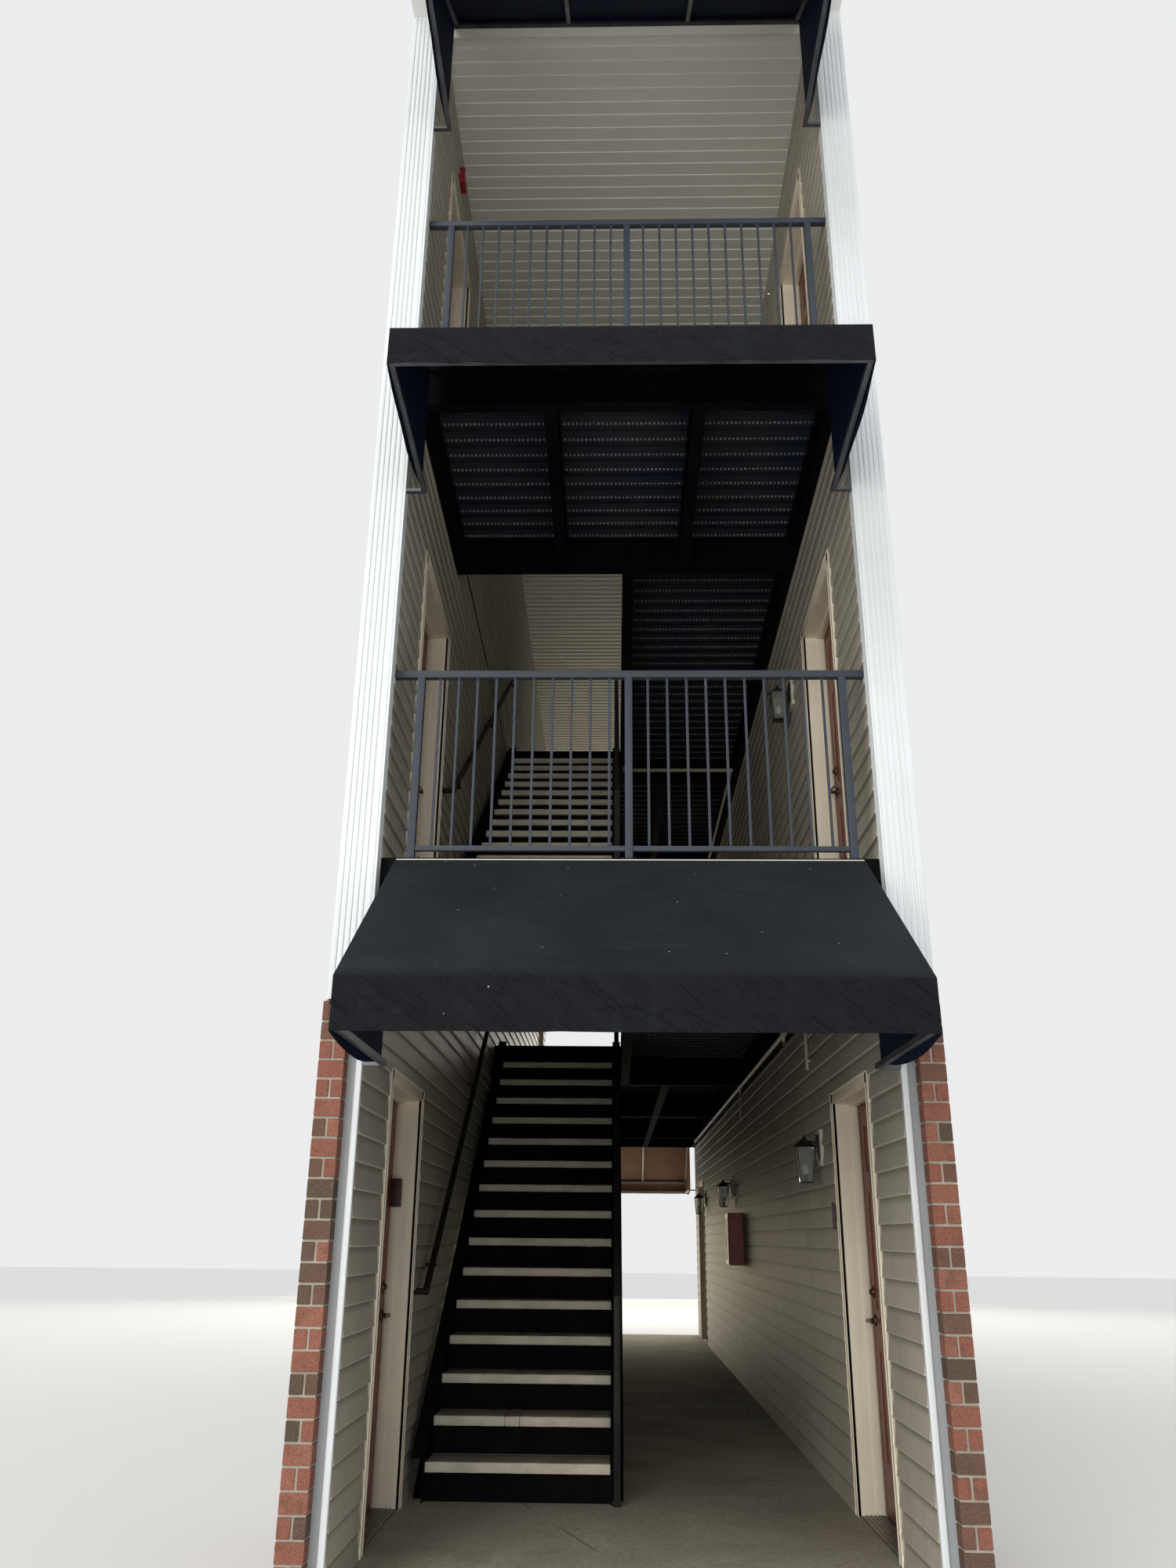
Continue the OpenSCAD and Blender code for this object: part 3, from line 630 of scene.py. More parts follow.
guardLook = makeSteel("guardSteel", (0.044, 0.052, 0.066), (0.066, 0.074, 0.086), (0.36, 0.36, 0.36),
                      0.42, 0.52, 0.35)
floorLook = makeConcrete("floorConcrete", (0.46, 0.43, 0.345), (0.34, 0.315, 0.25), (0.17, 0.15, 0.11),
                         0.85, 1.0, 0.6)
deckLook = makeConcrete("deckConcrete", (0.34, 0.325, 0.29), (0.26, 0.25, 0.225), (0.14, 0.13, 0.115),
                        0.8, 1.4, 0.8)
clothLook = makeCloth("awningCloth", (0.0065, 0.0075, 0.0095), (0.021, 0.025, 0.030), 0.8)
liningLook = makeCloth("awningLining", (0.004, 0.009, 0.028), (0.006, 0.013, 0.038), 0.0)
# The rear awnings' underside is painted warm brown: painted light for the sun shining through the cloth
backlitLiningLook = makeCloth("rearAwningLiningBacklit", (0.32, 0.18, 0.11), (0.25, 0.14, 0.085), 0.0)
tubeLook = makeTube("awningTube", (0.11, 0.115, 0.13), (0.06, 0.06, 0.07))
# The rear frames are the same metal as the front ones; this pale copy is painted light for the backlit frames at the
# rear
litRearTubeLook = makeTube("rearAwningTubeLit", (0.55, 0.54, 0.50), (0.38, 0.36, 0.32))
shingleLook, partyLook = makeShingle(), makePartyBoard()
bronzeLook = makePlain("darkBronze", (0.16, 0.11, 0.075), 0.3, 0.85, 0.55)
lampLook = makePlain("lampBlack", (0.02, 0.02, 0.02), 0.42, 0.2)
redLook = makePlain("cabinetRed", (0.36, 0.02, 0.022), 0.35)
pipeLook = makePlain("pipePaint", (0.60, 0.55, 0.44), 0.45)
chromeLook = makePlain("chromeHead", (0.72, 0.70, 0.66), 0.2, 0.95)
lensLook = makePlain("paleLens", (0.80, 0.80, 0.76), 0.25, mottle=0.9)
blockLook = makePlain("mountBlock", (0.62, 0.59, 0.50), 0.5, mottle=0.85)
bellLook = makePlain("bellBrown", (0.045, 0.020, 0.016), 0.4, mottle=0.7)
sillLook = makePlain("sillMetal", (0.20, 0.185, 0.16), 0.4, 0.7, 0.6)
glassLook = makeTinted("lanternGlass", 0.06, 30.0, (0.9, 0.93, 0.92), (0.75, 0.78, 0.76),
                       (("Transmission Weight", 0.9), ("IOR", 1.45)))
bulbLook = makeTinted("bulb", 0.35, 25.0, (0.86, 0.84, 0.78), (0.78, 0.75, 0.68))
print("materials made")


# Camera where the photograph was taken, pale floor and soft daylight
def placeCamera():
    shot = {"place": (-0.0688, -12.3211, 1.4187), "lens": 27.057, "sensor": 36.0, "far": 200.0,
            "pitch": 21.1, "yaw": -1.3918, "roll": 0.5492}
    data = bpy.data.cameras.new("photoCamera")
    data.lens, data.sensor_width, data.clip_end = shot["lens"], shot["sensor"], shot["far"]
    camera = addObject("photoCamera", data)
    pitch, yaw, roll = (math.radians(shot[key]) for key in ("pitch", "yaw", "roll"))
    ahead = Vector((math.sin(yaw) * math.cos(pitch), math.cos(yaw) * math.cos(pitch), math.sin(pitch)))
    level = Vector((math.cos(yaw), -math.sin(yaw), 0))
    above = level.cross(ahead)
    right = math.cos(roll) * level + math.sin(roll) * above
    up = -math.sin(roll) * level + math.cos(roll) * above
    camera.matrix_world = Matrix.Translation(shot["place"]) @ Matrix((right, up, -ahead)).transposed().to_4x4()
    bpy.context.scene.camera = camera


def placeDaylight():
    # Each glow is its power, place, height and tint
    day = {"sky": (0.93, 0.94, 0.95), "skyStrength": 0.9, "sun": 0.7, "sunSoft": 25.0,
           "sunTurn": (48.0, 0.0, -26.0), "glowWide": 15.0, "floor": (0.72, 0.72, 0.71), "floorSize": 90.0,
           "glows": ((1000.0, -6.5, -18.5, 3.8, 7.0, (1.0, 0.97, 0.91)),
                     (260.0, 0.0, 20.5, 1.5, 2.6, (1.0, 0.84, 0.45)),
                     (1500.0, 0.0, 18.0, 8.5, 7.0, (1.0, 0.95, 0.84)))}
    world = bpy.data.worlds.new("softSky")
    bpy.context.scene.world = world
    world.use_nodes = True
    inputs = world.node_tree.nodes["Background"].inputs
    inputs["Color"].default_value = (*day["sky"], 1)
    inputs["Strength"].default_value = day["skyStrength"]
    sun = bpy.data.lights.new("softSun", "SUN")
    sun.energy, sun.angle = day["sun"], math.radians(day["sunSoft"])
    addObject("softSun", sun).rotation_euler = [math.radians(turn) for turn in day["sunTurn"]]
    # Wide low light from the open ground at both ends
    for power, x, y, z, tall, tint in day["glows"]:
        glow = bpy.data.lights.new("openGlow", "AREA")
        glow.shape, glow.energy, glow.color = "RECTANGLE", power, tint
        glow.size, glow.size_y = day["glowWide"], tall
        holder = addObject("openGlow", glow)
        holder.location = (x, y, z)
        holder.rotation_euler = (math.radians(90), 0, math.radians(180) if y > 0 else 0)
    clearPick()
    bpy.ops.mesh.primitive_plane_add(size=day["floorSize"], location=(0, 0, 0))
    ground = bpy.context.object
    ground.name = "paleFloor"
    material, tree = newMaterial("paleFloor", 0.9)
    tree.nodes["Principled BSDF"].inputs["Base Color"].default_value = (*day["floor"], 1)
    paint(ground, material)
    bpy.context.scene.view_settings.view_transform = "Standard"


placeCamera()
placeDaylight()
print("camera and daylight placed")


# Awnings: one sheet each, sloping top, valance and two wings
def addAwning(name, deckZ, rear, *nodes):
    cloth = {"half": 1.11, "out": 1.02, "top": 0.03, "fall": 0.765, "valance": 0.205, "thick": 0.0016,
             "sag": 0.010, "wave": 0.008, "crease": 0.0045, "puff": 0.006, "flare": 0.010, "hemBand": 0.034,
             "hemRise": 0.035, "hemDip": 0.045, "columns": 96, "slopeRows": 44, "valanceRows": 14,
             "seam": 0.012, "flatWide": 4.3, "flatSeam": 0.02, "area": 4.45,
             "supports": (-1.0925, -0.3675, 0.3925, 1.0925)}
    supports = cloth["supports"]
    dice = random.Random(len(name) * 7 + int(deckZ * 10))
    swells = [(dice.uniform(2, 9), dice.uniform(-3, 3), dice.uniform(0, 6.3), dice.uniform(0.2, 1))
              for i in range(7)]
    half, out, fall, valance, columns, rows, low = (
        cloth[key] for key in ("half", "out", "fall", "valance", "columns", "slopeRows", "valanceRows"))
    topZ = deckZ - cloth["top"]
    kneeZ = topZ - fall
    hemZ = kneeZ - valance
    turn, slopeLong = math.atan2(fall, out), math.hypot(fall, out)

    def between(x):
        for left, right in zip(supports, supports[1:]):
            if left < x < right:
                return math.sin(math.pi * (x - left) / (right - left)) ** 2
        return 0.0

    def ripple(a, b):
        return sum(size * math.sin(fa * a * 2 + fb * b * 5 + phase) for fa, fb, phase, size in swells) / 4

    points, places = [], []
    wide = [-half + 2 * half * i / columns for i in range(columns + 1)]
    wide[1], wide[-2] = -half + cloth["seam"], half - cloth["seam"]
    for j in range(rows + 1):
        t = j / rows
        for i, x in enumerate(wide):
            free = min(1, (half - abs(x)) * 12)
            sink = cloth["sag"] * between(x) * math.sin(math.pi * t) ** 0.8
            sink += 0.0022 * ripple(x, t * 1.4) * math.sin(math.pi * t) * between(x)
            sink -= 0.0018 if i in (0, columns) else 0.0
            points.append((x, -out * t + math.sin(turn) * sink * free,
                           topZ - fall * t - math.cos(turn) * sink * free))
            places.append((x, t * slopeLong))
    for j in range(1, low + 1):
        t = j / low
        for x in wide:
            loose = math.sin(min(1, t * 1.1) * math.pi * 0.5) * min(1, (half - abs(x)) * 10)
            swell = cloth["wave"] * loose * (0.5 + 0.5 * math.sin(x * 17 + 3 * ripple(x * 1.3, 0.3)))
            crease = cloth["crease"] * loose * ripple(x * 2.2 + t * 0.6, t * 0.5)
            band = 0.0012 if (1 - t) * valance < cloth["hemBand"] else 0.0
            points.append((x, -out - 0.0005 - max(0.0, swell + crease) - band,
                           kneeZ - valance * t + 0.003 * loose * ripple(x, 2)))
            places.append((x, slopeLong + t * valance))

    def strip(i, j):
        return j * (columns + 1) + i

    faces = [(strip(i, j), strip(i, j + 1), strip(i + 1, j + 1), strip(i + 1, j))
             for j in range(rows + low) for i in range(columns)]
    for side, edge in ((-1, 0), (1, columns)):
        grid = {}
        for i in range(rows + 1):
            t = i / rows
            y, upper, inward = -out * t, topZ - fall * t, 1 - t
            hem = hemZ + cloth["hemRise"] * inward - cloth["hemDip"] * math.sin(math.pi * inward)
            for j in range(low + 1):
                if j == 0 or i == rows:
                    grid[i, j] = strip(edge, i if j == 0 else rows + j)
                    continue
                drop = j / low
                z = upper + (hem - upper) * drop
                puff = cloth["puff"] * math.sin(math.pi * t) * math.sin(math.pi * drop) * (1 + ripple(y * 2, drop))
                flare = cloth["flare"] * drop * drop * math.sin(math.pi * t) * (0.6 + 0.4 * math.sin(9 * t + side))
                grid[i, j] = len(points)
                points.append((side * (half - 0.0004 - puff * 0.5 + flare), y, z))
                places.append((side * (half + (upper - z) + 0.2), t * slopeLong))
        for i in range(rows):
            for j in range(low):
                ring = (grid[i, j], grid[i + 1, j], grid[i + 1, j + 1], grid[i, j + 1])
                faces.append(ring if side > 0 else ring[::-1])
    mesh = bpy.data.meshes.new(name)
    way = -1 if rear else 1
    mesh.from_pydata([(x, way * (frontY + y), z) for x, y, z in points], [], [face[::way] for face in faces])
    layer = mesh.uv_layers.new(name="cloth")
    for loop in mesh.loops:
        layer.data[loop.index].uv = places[loop.vertex_index]
    sheet = addObject(name, mesh)
    openEdit(sheet, everything=True)
    bpy.ops.mesh.normals_make_consistent(inside=False)
    closeEdit()
    if sheet.data.polygons[columns // 2].normal.z < 0:
        sheet.data.flip_normals()
    for look in (clothLook, backlitLiningLook if rear else liningLook):
        sheet.data.materials.append(look)
    useModifier(sheet, "SOLIDIFY", thickness=cloth["thick"], offset=-1, material_offset=1)
    smoothShade(sheet, 50)
    return settle(sheet, "awning_cloth", *nodes)


for word, deckZ in zip(levelWords, (floorZ[1], floorZ[2], ceilingZ)):
    addAwning("front" + word + "Awning", deckZ, False, "front_" + word.lower() + "_awning")
    addAwning("rear" + word + "Awning", deckZ, True, "rear_awnings")
print("awnings made")


# Lap siding on the passage walls: tapered boards with a rounded butt, in staggered lengths
siding = {"butt": 0.016, "top": 0.003, "round": 0.004, "long": 3.66, "gap": 0.0012, "boards": 5,
          "stagger": (0, 1.3, 2.5, 0.7), "blocks": 7, "clear": 0.004, "doorHead": 2.12, "leg": 0.06,
          "strip": 0.013}


def makeSidingBlock():
    # Four courses of boards for the right wall; every patch is cut from copies of this block
    rows, near = [], 1e-4
    for course, stagger in enumerate(siding["stagger"]):
        board = addBox("boardRow", (halfWidth - siding["butt"], 0, 0),
                       (halfWidth, siding["long"] - siding["gap"], sidingPitch))
        moveVertices(board, lambda p: p.z > sidingPitch - near and p.x < halfWidth - near,
                     (siding["butt"] - siding["top"], 0, 0))
        pick(board, "EDGE", "edges", lambda edge: all(
            spot.z < near and spot.x < halfWidth - near
            for spot in (board.data.vertices[index].co for index in edge.vertices)))
        bpy.ops.mesh.bevel(offset=siding["round"], segments=3, affect="EDGES")
        closeEdit()
        repeat(board, siding["boards"], (0, siding["long"], 0))
        rows.append(shift(board, (0, frontY - stagger, course * sidingPitch)))
    return joinAll("sidingBlock", rows)


def addSidingPatch(block, floor, yFrom, yTo, low, high):
    # Between two places along the passage and two heights over the floor
    patch = repeat(copyOf(block, "sidingPatch"), siding["blocks"], (0, 0, 4 * sidingPitch))
    shift(patch, (0, 0, floor))
    cutAt(patch, (0, 0, floor + high), (0, 0, 1), keepBelow=True)
    if low > 0:
        cutAt(patch, (0, 0, floor + low), (0, 0, 1), keepAbove=True)
    cutAt(patch, (0, yTo, 0), (0, 1, 0), keepBelow=True)
    cutAt(patch, (0, yFrom, 0), (0, 1, 0), keepAbove=True)
    return patch


def addSidingWall(name, floor, top, block, seed, extra=(), flipX=False):
    # Full height between the doors and beside them, and a patch over each door
    casing = (casingLow.y - siding["clear"], casingFar + siding["clear"])
    split, legY = brickTopZ - floor, frontY + siding["leg"]
    spots = [(legY, casing[0], max(split, 0), top), (*casing, siding["doorHead"] + siding["clear"], top)]
    if split > 0:
        spots.insert(0, (frontY + siding["strip"], casing[0], 0, split))
    spots = [(*mirrored(end, *spot[:2]), *spot[2:]) for end in (1, -1) for spot in spots]
    spots += [(casing[1], -casing[1], 0, top), *extra]
    wall = joinAll(name, [addSidingPatch(block, floor, *spot) for spot in spots])

    def cellOf(center):
        course = math.floor((center.z - floor) / sidingPitch)
        return course, math.floor((center.y - frontY + siding["stagger"][course % 4]) / siding["long"])

    settle(paint(toneByCell(turnOver(wall, flipX), cellOf, seed), sidingLook), "lap_siding")


sidingBlock = makeSidingBlock()
for level, (word, floor) in enumerate(zip(levelWords, floorZ)):
    top = ceilingZ - floor if level == 2 else deckUnderZ[0] - floorZ[0] - 0.02
    voidBand = ((*voidY, top - 0.01, storey),) if level < 2 else ()
    addSidingWall("sidingRight" + word, floor, top, sidingBlock, 11 + level)
    addSidingWall("sidingLeft" + word, floor, top, sidingBlock, 21 + level, voidBand, flipX=True)
bpy.data.objects.remove(sidingBlock)


def addChannels():
    # Light channel that closes the top of the siding under each deck and under the ceiling
    channel = {"deep": 0.022, "tall": 0.024, "end": 0.062, "round": 0.004}
    strips = []
    for top in (*deckUnderZ, ceilingZ):
        for side in (-1, 1):
            near, far = mirrored(side, halfWidth, halfWidth - channel["deep"])
            strips.append(addSoftBox("channel", (near, frontY + channel["end"], top - channel["tall"]),
                                     (far, rearY - channel["end"], top - 0.001), channel["round"]))
    finishPiece("sidingChannels", strips, channelLook, "white_trim")


addChannels()
print("siding made")


# Corner posts: fluted over the brick, a plain strip below it, legs that turn into the passage
def cutFlutes(piece, spots, along, wide, depth):
    # Grooves at places along X or Y, sunk into the face across it
    across = 1 - along
    way, sink = Vector(), Vector()
    way[along], sink[across] = 1, depth
    for spot in spots:
        for side in (-0.5, 0.5):
            cutAt(piece, way * (spot + side * wide), way)
    pick(piece, "FACE", "polygons", lambda face: face.normal[across] < -0.9
         and min(abs(face.center[along] - spot) for spot in spots) < 0.002)
    bpy.ops.mesh.extrude_region_move(TRANSFORM_OT_translate={"value": tuple(sink)})
    closeEdit()
    return piece


def addPost():
    post = {"grooves": 5, "groove": 0.011, "depth": 0.006, "edge": 0.018, "out": 0.025, "lap": 0.012,
            "strip": 0.055, "stripOut": 0.003, "bead": 0.030, "beadOut": 0.017, "beadIn": 0.010,
            "legIn": 0.06, "legTop": 0.09, "legGroove": 0.009, "legDepth": 0.005, "legGrooves": 3,
            "legStart": 0.006, "legPitch": 0.023}
    lapX, frontFace = halfWidth - post["lap"], frontY - post["out"]
    pitch = (outerX - halfWidth - 2 * post["edge"]) / post["grooves"]
    middles = [halfWidth + post["edge"] + (i + 0.5) * pitch for i in range(post["grooves"])]
    shaft = addBox("shaft", (halfWidth, frontFace, brickTopZ), (outerX, frontY, ceilingZ))
    roundEdges(cutFlutes(shaft, middles, 0, post["groove"], post["depth"]), 0.0028)
    # Flat strip recessed beside the brick; its grey-blue paint is painted shade from the brick's shadow
    flat = addBox("flat", (halfWidth, frontY - post["stripOut"], 0), (halfWidth + post["strip"], frontY, brickTopZ))
    bead = addSoftBox("bead", (lapX, frontY - post["beadOut"], 0),
                      (lapX + post["bead"], frontY + post["beadIn"], brickTopZ), 0.007, 4)
    leg = addBox("leg", (lapX, frontFace, brickTopZ), (halfWidth, frontY + post["legIn"], ceilingZ - post["legTop"]))
    spots = [frontY - post["legStart"] + i * post["legPitch"] for i in range(post["legGrooves"])]
    roundEdges(cutFlutes(leg, spots, 1, post["legGroove"], post["legDepth"]), 0.002)
    return joinAll("frontRightPost", [*(paint(part, postLook) for part in (shaft, bead, leg)), paint(flat, shadedFlatLook)])


frontRightPost = addPost()
frontPosts = (frontRightPost, copyOf(frontRightPost, "frontLeftPost", flipX=True))
rearPosts = (copyOf(frontRightPost, "rearRightPost", flipY=True),
             copyOf(frontRightPost, "rearLeftPost", flipX=True, flipY=True))
for pieces, node in ((frontPosts, "front_corner_posts"), (rearPosts, "rear_corner_posts")):
    for piece in pieces:
        settle(smoothShade(piece, 30), "white_trim", node)
print("posts made")


# Brick piers: running bond with a sloping rowlock course on top
def addBrickPier(name, flipX, flipY, seed):
    course = {"count": 28, "joint": 0.010, "inset": 0.006, "split": 0.061, "rowlock": 0.104,
              "rowlockPitch": 0.0865, "fall": 0.02, "bedTop": 0.032, "deep": 0.08, "strip": 0.055}
    left, front, joint = halfWidth + course["strip"], frontY - course["deep"], course["joint"]
    rowlockZ = brickTopZ - course["rowlock"]
    pitch = rowlockZ / course["count"]
    bricks = []
    for i in range(course["count"]):
        ends = [left, outerX] if i % 2 else [left, left + course["split"], outerX]
        for k, (x0, x1) in enumerate(zip(ends, ends[1:])):
            shrink = joint if k < len(ends) - 2 else 0
            bricks.append(addBox("brick", (x0, front, i * pitch), (x1 - shrink, frontY, i * pitch + pitch - joint)))
    for x0 in (left, left + course["rowlockPitch"]):
        x1 = min(x0 + course["rowlockPitch"] - joint, outerX)
        bricks.append(moveVertices(addBox("rowlock", (x0, front, rowlockZ), (x1, frontY, brickTopZ)),
                                   lambda p: p.z > brickTopZ - 1e-4 and p.y < front + 1e-4,
                                   (0, 0, -course["fall"])))
    pier = roundEdges(joinAll(name, bricks), 0.003)
    openEdit(pier, "VERT", everything=True)
    bpy.ops.transform.vertex_random(offset=0.0009, seed=seed)
    closeEdit()
    bed = addBox(name + "Mortar", (left + course["inset"], front + course["inset"], 0),
                 (outerX - 0.001, frontY, brickTopZ - course["bedTop"]))

    def cellOf(center):
        row = math.floor(center.z / pitch) if center.z < rowlockZ - 0.003 else 99
        second = course["rowlockPitch"] if row == 99 else course["split"]
        return row, (row == 99 or row % 2 == 0) and abs(center.x) > left + second - 0.004

    toneByCell(turnOver(pier, flipX, flipY), cellOf, seed)
    settle(paint(pier, brickLook), "brick", "brick_facings")
    settle(paint(turnOver(bed, flipX, flipY), mortarLook), "brick", "brick_facings")


for seed, (end, word) in enumerate(((e, w) for e in ("Front", "Rear") for w in ("Right", "Left")), 31):
    addBrickPier("brick" + end + word, word == "Left", end == "Rear", seed)
print("brick made")


# Ceiling of narrow vinyl boards that run across the bay, each with a lip that catches the light
def addCeilingBoards():
    board = {"pitch": 0.1016, "lip": 0.011, "back": 0.003, "side": 0.016, "end": 0.06}
    count = int((rearY - frontY - 2 * board["end"]) / board["pitch"])
    start, wide = -count * board["pitch"] / 2, halfWidth - board["side"]
    piece = addBox("ceilingBoards", (-wide, start, ceilingZ - board["lip"]),
                   (wide, start + board["pitch"], ceilingZ + 0.001))
    moveVertices(piece, lambda p: p.y > start + board["pitch"] / 2 and p.z < ceilingZ,
                 (0, 0, board["lip"] - board["back"]))
    repeat(roundEdges(piece, 0.0015), count, (0, board["pitch"], 0))
    toneByCell(piece, lambda c: math.floor((c.y - start) / board["pitch"]), 5)
    settle(paint(piece, soffitLook), "soffit_panel")


addCeilingBoards()


# Doors: six raised panels on both faces
def addDoorLeaf(name):
    leaf = {"stile": 0.115, "rails": (0.240, 0.770, 0.960, 1.560, 1.660, 1.910),
            "insets": ((0.010, -0.007), (0.014, 0), (0.022, 0.006))}
    slab, stile, rails = addBox(name, leafLow, leafHigh), leaf["stile"], leaf["rails"]
    wide = leafHigh.y - leafLow.y
    panel = (wide - 3 * stile) / 2
    columns = (stile, stile + panel, 2 * stile + panel, wide - stile)
    for y in columns:
        cutAt(slab, (0, leafLow.y + y, 0), (0, 1, 0))
    for z in rails:
        cutAt(slab, (0, 0, leafLow.z + z), (0, 0, 1))

    def inside(value, cuts):
        return any(low < value < high for low, high in zip(cuts[::2], cuts[1::2]))

    insetFaces(slab, lambda c, n: abs(n.x) > 0.9 and inside(c.y - leafLow.y, columns)
               and inside(c.z - leafLow.z, rails), *leaf["insets"])
    return smoothShade(roundEdges(slab, 0.0015), 25)


# Places of the doors: floor level, and whether the door is at the rear
allDoors = [(level, flip) for level in range(3) for flip in (False, True)]


def spread(master, name, places):
    copies = [copyOf(master, "part", (0, 0, storey * level), flipY=flip) for level, flip in places]
    return joinAll(name, copies)


rightDoor = addDoorLeaf("rightDoorLeaf")
rightFixed = spread(rightDoor, "rightFixedDoors", allDoors[1:])
for piece, node, body in ((rightDoor, "right_door", "right_door_leaf"),
                          (copyOf(rightDoor, "leftDoorLeaf", flipX=True), "left_door", "left_door_leaf"),
                          (rightFixed, "right_fixed_doors", "building"),
                          (copyOf(rightFixed, "leftFixedDoors", flipX=True), "left_fixed_doors", "building")):
    settle(paint(piece, doorLook), "door_paint", node, body=body)
print("doors made")


# Door frames: jambs, stops and casings with a raised outer bead, caulked against the siding
def addFrame():
    wide, jamb, bead, step, stop = (trim[key] for key in ("casing", "jamb", "bead", "step", "stop"))
    floor, face, stopX = floorZ[0], halfWidth - trim["out"], leafLow.x - 0.005
    yLow, yHigh = leafLow.y - trim["hingeGap"], leafHigh.y + trim["lockGap"]
    top = leafHigh.z + trim["headGap"]
    inner = (yLow - trim["reveal"], yHigh + trim["reveal"])
    ends = (inner[0] - wide, inner[1] + wide)
    headTop = top + trim["reveal"] + wide
    # Each row is a part's name, its two corners and how far its edges are rounded
    rows = []
    for y0, outer, near in ((ends[0], ends[0], inner[0] - step), (inner[1], ends[1] - bead, inner[1])):
        rows += [("casing", (face + 0.004, y0, floor), (halfWidth, y0 + wide, headTop), 0.002),
                 ("bead", (face, outer, floor), (halfWidth, outer + bead, headTop), 0.003),
                 ("step", (face + 0.001, near, floor), (halfWidth, near + step, headTop - wide + step), 0.002)]
    rows += [("head", (face + 0.004, ends[0], headTop - wide), (halfWidth, ends[1], headTop), 0.002),
             ("bead", (face, ends[0], headTop - bead), (halfWidth, ends[1], headTop), 0.003)]
    rows += [("jamb", (halfWidth, y0, floor), (outerX, y0 + jamb, top + jamb), 0.0015)
             for y0 in (yLow - jamb, yHigh)]
    rows += [("stop", (stopX - trim["stopOut"], y0, z), (stopX, y1, top), 0.002)
             for y0, y1, z in ((yLow, yLow + stop, floor + 0.012), (yHigh - stop, yHigh, floor + 0.012),
                               (yLow, yHigh, top - stop))]
    parts = [addSoftBox(*row) for row in rows]
    parts.append(addBox("jambHead", (halfWidth, yLow - jamb, top), (outerX, yHigh + jamb, top + jamb)))
    dice = random.Random(8)
    for course in range(trim["caulks"]):
        for y in (ends[0] - 0.001, ends[1] + 0.001):
            parts.append(addBall("caulk", (halfWidth - 0.012, y, floor + (course + 0.12) * sidingPitch),
                                 (0.010, dice.uniform(0.003, 0.007), dice.uniform(0.014, 0.034)), 10, 8))
    return joinAll("frame", parts)


def addSill():
    sill = {"thick": 0.008, "rib": 0.004, "ribWide": 0.008, "start": 0.02, "pitch": 0.022, "ribs": 6}
    low, far = (halfWidth, leafLow.y - trim["hingeGap"], floorZ[0]), leafHigh.y + trim["lockGap"]
    top, ribX = floorZ[0] + sill["thick"], halfWidth + sill["start"]
    plate = addSoftBox("plate", low, (outerX, far, top), 0.0015)
    rib = addSoftBox("rib", (ribX, low[1], top - 0.001), (ribX + sill["ribWide"], far, top + sill["rib"]), 0.0015)
    return joinAll("sill", [plate, repeat(rib, sill["ribs"], (sill["pitch"], 0, 0))])


def spreadBothSides(master, word, look, *nodes):
    # One set for the right front ground door, copied to every floor, end and side
    right = smoothShade(paint(spread(master, "rightDoor" + word, allDoors), look), 30)
    bpy.data.objects.remove(master)
    left = copyOf(right, "leftDoor" + word, flipX=True)
    settle(right, "door_trim", *nodes[:1])
    settle(left, "door_trim", *nodes[1:])


spreadBothSides(addFrame(), "Frames", casingLook, "right_door_frames", "left_door_frames")
spreadBothSides(addSill(), "Sills", sillLook)


# Bronze lever, deadbolt and hinges
lock = {"inset": 0.065, "leverUp": 0.925, "boltUp": 1.065, "rose": 0.032, "long": 0.104, "viewerUp": 1.53,
        "hinges": (0.25, 1.05, 1.83), "hingeTall": 0.1, "knuckles": 5, "knuckleGap": 0.0004}
lockY = leafHigh.y - lock["inset"]


def addRose(spot, way):
    radius = lock["rose"]
    return [addStub("rose", spot, way, 0, 0.009, radius, 32, 0.002, 3, radius * 0.94),
            addStub("dome", spot, way, 0.008, 0.0155, radius * 0.72, 32, 0.002, 2, radius * 0.5)]


def addLever(spot, way):
    stem = addStub("stem", spot, way, 0.008, 0.046, 0.0095, 20, 0.0015)
    end = spot + way * 0.040 - Vector((0, lock["long"], 0))
    arm = addRod("arm", spot + way * 0.042 + Vector((0, 0.011, 0)), end, 0.0085, 20, 0.0062)
    openEdit(arm, "VERT", everything=True)
    bpy.ops.mesh.subdivide(number_cuts=5)
    closeEdit()
    for vertex in arm.data.vertices:
        along = max(0, (lockY - vertex.co.y) / lock["long"])
        vertex.co.z += 0.006 * math.sin(math.pi * along) - 0.004 * along ** 2
    return [stem, arm, addBall("tip", end - Vector((0, 0, 0.004)), (0.0072, 0.0062, 0.0072))]


def addHinge(low):
    hingeX, hingeY, near, tall = outerX + 0.012, leafLow.y - 0.0025, leafLow.y, lock["hingeTall"]
    step = tall / lock["knuckles"]
    parts = [addStub("knuckle", (hingeX, hingeY, low + k * step), (0, 0, 1), lock["knuckleGap"],
                     step - lock["knuckleGap"], 0.0065, 20, 0.0008) for k in range(lock["knuckles"])]
    parts += [addBall("pin", (hingeX, hingeY, low + tall), (0.0055, 0.0055, 0.003), 14, 8),
              addSoftBox("wing", (outerX, near, low), (outerX + 0.003, near + 0.038, low + tall), 0.001),
              addBox("strap", (outerX, near, low), (outerX + 0.012, near + 0.003, low + tall))]
    return parts + [addBall("screw", (outerX + 0.003, near + 0.024, low + up), (0.0015, 0.0045, 0.0045), 12, 6)
                    for up in (0.015, 0.05, 0.085)]


